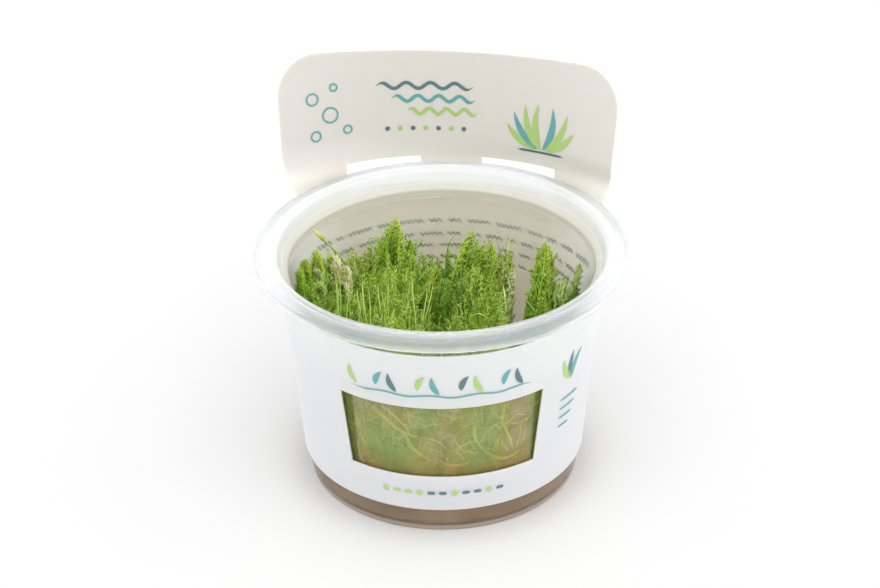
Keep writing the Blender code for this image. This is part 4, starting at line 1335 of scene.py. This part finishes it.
towards_camera = np.array(turn_to_part @ Vector((0.0, -1.0, 0.4)))
for name, node, rows in (("clump_fronds", "moss_clump", FRONDS), ("tuft_fronds", "moss_tuft", TUFT_FRONDS)):
    controls, tint = fronds(rng, rows)
    flat = towards_camera + rng.normal(0.0, 0.5, (len(controls), 3))
    shoot_piece(name, node, rng, controls, tint, 0.22, 44, leaf=1.9, wide=0.46, spread=0.5, facing=flat)

# %% [markdown]
# Low in front of the clump, smooth young strands stand up singly from its foot. They are given in pixels too,
# as a row of feet with tips above them, each swaying a little as it rises.

# %% Young strands in front of the clump
FRONT_LEFT, FRONT_MIDDLE, FRONT_RIGHT, FRONT_STRANDS = 333, 380, 428, 26
column = np.sort(rng.uniform(FRONT_LEFT, FRONT_RIGHT, FRONT_STRANDS))
foot_row = np.interp(column, (FRONT_LEFT, FRONT_MIDDLE, FRONT_RIGHT), (320, 330, 334))
tip_row = foot_row - rng.uniform(22, 52, FRONT_STRANDS)
strand_u = column[:, None] + np.cumsum(rng.normal(0.0, 2.2, (FRONT_STRANDS, 4)), axis=1)
strand_v = foot_row[:, None] + (tip_row - foot_row)[:, None] * np.linspace(0.0, 1.0, 4)
strand_depth = np.interp(strand_v, (280, 334), (-4.0, -15.0))
controls = at_pixel(strand_u, strand_v, strand_depth + rng.normal(0.0, 0.6, strand_depth.shape))
tint = np.array(MOSS_TINTS["young"]) * rng.uniform(0.85, 1.15, (FRONT_STRANDS, 1))
thin = rng.uniform(0.14, 0.24, FRONT_STRANDS)
shoot_piece("front_strands", "moss_clump", rng, held_inside(controls), tint, thin)

# %% [markdown]
# Behind the window old stems are pressed flat against the wall, pale and nearly leafless. Their points are
# found on the wall itself: the pixel's ray is followed to where it meets the inner cone. Each row has four
# points along the stem and its half width, which one factor then widens for all.

# %% Stems pressed against the window
STEM_TINT, STEM_OFF_WALL, STEM_WIDER = (1.0, 0.90, 0.68), 0.6, 1.3
FRONT_DEPTH, WALL_STEPS = -32.0, 8
WALL_STEMS = [
    (((372, 405), (388, 419), (403, 431), (421, 436)), 0.42),
    (((421, 436), (431, 438), (440, 442), (449, 452)), 0.42),
    (((403, 431), (409, 440), (415, 449), (434, 461)), 0.36),
    (((449, 452), (455, 449), (462, 445), (471, 440)), 0.3),
    (((453, 449), (457, 451), (460, 454), (464, 459)), 0.34),
    (((455, 448), (462, 449), (469, 451), (476, 452)), 0.26),
    (((474, 424), (474, 432), (476, 440), (487, 452)), 0.5),
    (((480, 442), (486, 431), (494, 424), (501, 420)), 0.42),
    (((500, 421), (502, 414), (503, 408), (504, 400)), 0.36),
    (((501, 421), (506, 431), (509, 438), (512, 447)), 0.36),
    (((359, 440), (360, 448), (362, 455), (365, 462)), 0.36),
    (((394, 440), (397, 442), (400, 443), (403, 443)), 0.3),
    (((381, 404), (392, 412), (404, 424), (409, 433)), 0.3),
    (((520, 425), (519, 434), (516, 444), (514, 456)), 0.3),
    (((440, 460), (450, 464), (461, 464), (470, 460)), 0.3),
    (((487, 452), (497, 457), (508, 456), (519, 449)), 0.34),
]


def on_wall(u, v, off_wall):
    """The points a little off the front wall's inner side that are seen at pixels u, v.

    The depth is found in steps: each step puts the ray's point on the circle of the wall at its height.
    """
    depth = np.full(np.shape(u), FRONT_DEPTH)
    for _ in range(WALL_STEPS):
        point = at_pixel(u, v, depth)
        across = (point @ np.array(turn_to_part))[..., 0]
        radius = inner_radius(point[..., 2]) - off_wall
        depth = -np.sqrt(np.maximum(radius**2 - across**2, 0.0))
    return at_pixel(u, v, depth)


def through(points):
    """Controls of the cubic that passes its four points at a third of the way each."""
    a, b, c, d = points
    return np.array([a, (-5 * a + 18 * b - 9 * c + 2 * d) / 6, (2 * a - 9 * b + 18 * c - 5 * d) / 6, d])


pixels = np.array([row[0] for row in WALL_STEMS], float)
controls = np.array([through(points) for points in on_wall(pixels[..., 0], pixels[..., 1], STEM_OFF_WALL)])
tint = np.array(STEM_TINT) * rng.uniform(0.9, 1.1, (len(controls), 1))
shoot_piece(
    "pressed_stems", "moss_clump", rng, controls, tint, leaf=0.8, wide=0.3, spread=0.5, count=14,
    radius=[STEM_WIDER * row[1] for row in WALL_STEMS],
)

# %% [markdown]
# Round those stems lies a fine tangle of hair-thin, half-dead shoots, browner towards the gel. Each wanders
# over the window from a random pixel, with a heading that turns a little at every stride, and is laid on the
# wall in the same way.

# %% A fine tangle pressed against the wall
TANGLE, WINDOW_COLUMNS, WINDOW_ROWS = 170, (342, 538), (398, 470)
TANGLE_TINT, BROWN_ROW, BROWN_FADE = (0.92, 0.86, 0.52), 446.0, 22.0
heading = rng.uniform(0.0, TURN, (TANGLE, 1)) + np.cumsum(rng.normal(0.0, 0.4, (TANGLE, 4)), axis=1)
stride = rng.uniform(3.0, 8.0, (TANGLE, 1))
tangle_u = rng.uniform(*WINDOW_COLUMNS, (TANGLE, 1)) + np.cumsum(stride * np.cos(heading), axis=1)
tangle_v = rng.uniform(*WINDOW_ROWS, (TANGLE, 1)) + np.cumsum(stride * np.sin(heading), axis=1)
tangle = on_wall(tangle_u, tangle_v, rng.uniform(0.6, 1.0, (TANGLE, 1)))
low_share = smooth_step((tangle_v.mean(1, keepdims=True) - BROWN_ROW) / BROWN_FADE)
brown_share = low_share * rng.uniform(0.3, 1.0, (TANGLE, 1))
tint = blend(np.array(TANGLE_TINT) * rng.uniform(0.5, 1.1, (TANGLE, 1)), MOSS_TINTS["brown"], brown_share)
shoot_piece(
    "pressed_tangle", "moss_clump", rng, tangle, tint, leaf=0.7, wide=0.26, spread=0.6, count=10,
    radius=rng.uniform(0.12, 0.26, TANGLE),
)

# %% [markdown]
# The last shoots are bare: the club-tipped one that arches over on the left, hooked filaments, and smooth
# strands in front. Each is a curve through four points of the picture, with the depths of its foot and tip,
# its half width, which one factor then narrows for all, and its tint.

# %% Bare shoots placed one by one
THREAD_THINNER = 0.7
THREADS = [
    (((352, 272), (337, 254), (326, 242), (313, 229)), 12, 14, 0.32, "young"),
    (((324, 240), (320, 236), (317, 233), (313, 229)), 13, 14, 0.62, "yellow"),
    (((370, 275), (360, 260), (348, 254), (333, 252)), 11, 12, 0.4, "yellow"),
    (((446, 285), (446, 262), (450, 242), (460, 234)), 10, 14, 0.3, "dark"),
    (((385, 268), (380, 246), (373, 238), (366, 244)), 10, 14, 0.25, "mid"),
    (((392, 262), (386, 250), (378, 241), (372, 238)), 10, 14, 0.25, "mid"),
    (((344, 318), (345, 306), (346, 298), (347, 290)), -10, -6, 0.32, "young"),
    (((337, 318), (338, 306), (338, 296), (340, 288)), -10, -6, 0.29, "young"),
    (((361, 326), (360, 312), (358, 300), (357, 288)), -12, -7, 0.36, "young"),
    (((382, 328), (381, 312), (379, 298), (378, 284)), -12, -7, 0.32, "young"),
    (((416, 332), (415, 315), (413, 297), (413, 278)), -14, -8, 0.36, "young"),
    (((414, 330), (408, 311), (399, 301), (386, 300)), -13, -9, 0.32, "young"),
    (((424, 322), (428, 308), (431, 296), (433, 282)), -13, -7, 0.34, "young"),
    (((507, 285), (507, 263), (508, 247), (515, 230)), 8, 13, 0.3, "yellow"),
    (((508, 262), (500, 250), (497, 238), (503, 226)), 8, 13, 0.16, "brown"),
    (((508, 262), (500, 266), (492, 270), (485, 274)), 9, 10, 0.4, "yellow"),
    (((506, 276), (509, 281), (513, 285), (515, 290)), 6, 6, 0.4, "yellow"),
    (((505, 326), (506, 310), (505, 296), (503, 284)), -6, 0, 0.5, "pale"),
    (((468, 322), (474, 315), (483, 315), (491, 326)), -14, -12, 0.36, "young"),
    (((495, 328), (497, 312), (503, 304), (512, 302)), -10, -8, 0.32, "young"),
    (((336, 262), (339, 270), (342, 278), (346, 287)), 1, -1, 0.16, "brown"),
    (((342, 263), (342, 269), (341, 275), (339, 281)), 0, -1, 0.13, "brown"),
    (((525, 300), (529, 304), (533, 309), (536, 317)), -6, -6, 0.32, "young"),
    (((565, 300), (569, 293), (569, 287), (569, 282)), 0, 4, 0.3, "yellow"),
    (((395, 226), (394, 221), (396, 218), (398, 220)), 14, 14, 0.28, "mid"),
]

pixels = np.array([row[0] for row in THREADS], float)
depths = np.array([np.linspace(near, far, 4) for _, near, far, _, _ in THREADS])
controls = np.array([through(points) for points in at_pixel(pixels[..., 0], pixels[..., 1], depths)])
tint = np.array([MOSS_TINTS[row[4]] for row in THREADS])
thin = np.array([THREAD_THINNER * row[3] for row in THREADS])
shoot_piece("bare_shoots", "moss_clump", rng, held_inside(controls), tint, thin)

# %% [markdown]
# The cup stands on a seamless pale table, which is only there for the picture. It is one large square, so
# that no edge or corner of it comes into view.

# %% Floor
PALE, FLOOR_REACH = (0.715, 0.717, 0.715), 3000.0
floor_corners = [(FLOOR_REACH * x, FLOOR_REACH * y, 0.0) for x, y in ((-1, -1), (1, -1), (1, 1), (-1, 1))]
floor_mesh = bpy.data.meshes.new("table")
floor_mesh.from_pydata((np.array(floor_corners) * MM).tolist(), [], [(0, 1, 2, 3)])
floor = bpy.data.objects.new("table", floor_mesh)
bpy.context.scene.collection.objects.link(floor)
table = Surface("pale_table", base_color=PALE, roughness=0.6)
floor_mesh.materials.append(table.material)
print("the table is", 2 * FLOOR_REACH * MM, "m wide")

# %% [markdown]
# The light is that of a white studio tent: brightest at the horizon and at the sides, less so overhead. A
# clear cup shows its surroundings in every curve, so the sky is a smooth function of the heading and has no
# lamps in it. Two very broad and distant panels add a soft shadow.

# %% Light and view
HORIZON, OVERHEAD, OVERHEAD_FROM, SIDES = 0.95, 0.62, 0.7, 0.9
world = bpy.data.worlds.new("studio")
world.use_nodes = True
sky = world.node_tree
background = sky.nodes["Background"]
background.inputs["Color"].default_value = (1.0, 1.0, 1.0, 1.0)
heading = add_node(sky, "SeparateXYZ", {0: add_node(sky, "TexCoord").outputs["Generated"]}).outputs
rise = {"Value": heading["Z"], "From Max": OVERHEAD_FROM, "To Min": HORIZON, "To Max": OVERHEAD}
glow = add_node(sky, "MapRange", rise).outputs["Result"]
sideways = add_node(sky, "Math", {0: heading["X"]}, operation="ABSOLUTE").outputs[0]
strength = add_node(sky, "Math", {0: sideways, 1: SIDES, 2: glow}, operation="MULTIPLY_ADD").outputs[0]
sky.links.new(strength, background.inputs["Strength"])
bpy.context.scene.world = world


def add_sky_panel(name, elevation, round_from_front, spread, strength):
    """A broad, very distant light panel, given by its angles seen from the object."""
    data = bpy.data.lights.new(name, "SUN")
    data.angle = math.radians(spread)
    data.energy = strength
    light = bpy.data.objects.new(name, data)
    bpy.context.scene.collection.objects.link(light)
    up, side = math.radians(elevation), math.radians(round_from_front)
    towards = Vector((math.cos(up) * math.sin(side), -math.cos(up) * math.cos(side), math.sin(up)))
    light.rotation_euler = (-towards).to_track_quat("-Z", "Y").to_euler()
    print(name, "stands", elevation, "degrees up and", round_from_front, "degrees round from the front")


add_sky_panel("top_panel", 70.0, 0.0, 60.0, 1.1)
add_sky_panel("right_panel", 30.0, 75.0, 90.0, 0.35)
view = bpy.context.scene.view_settings
view.view_transform = "Standard"
view.look = "None"

# %% [markdown]
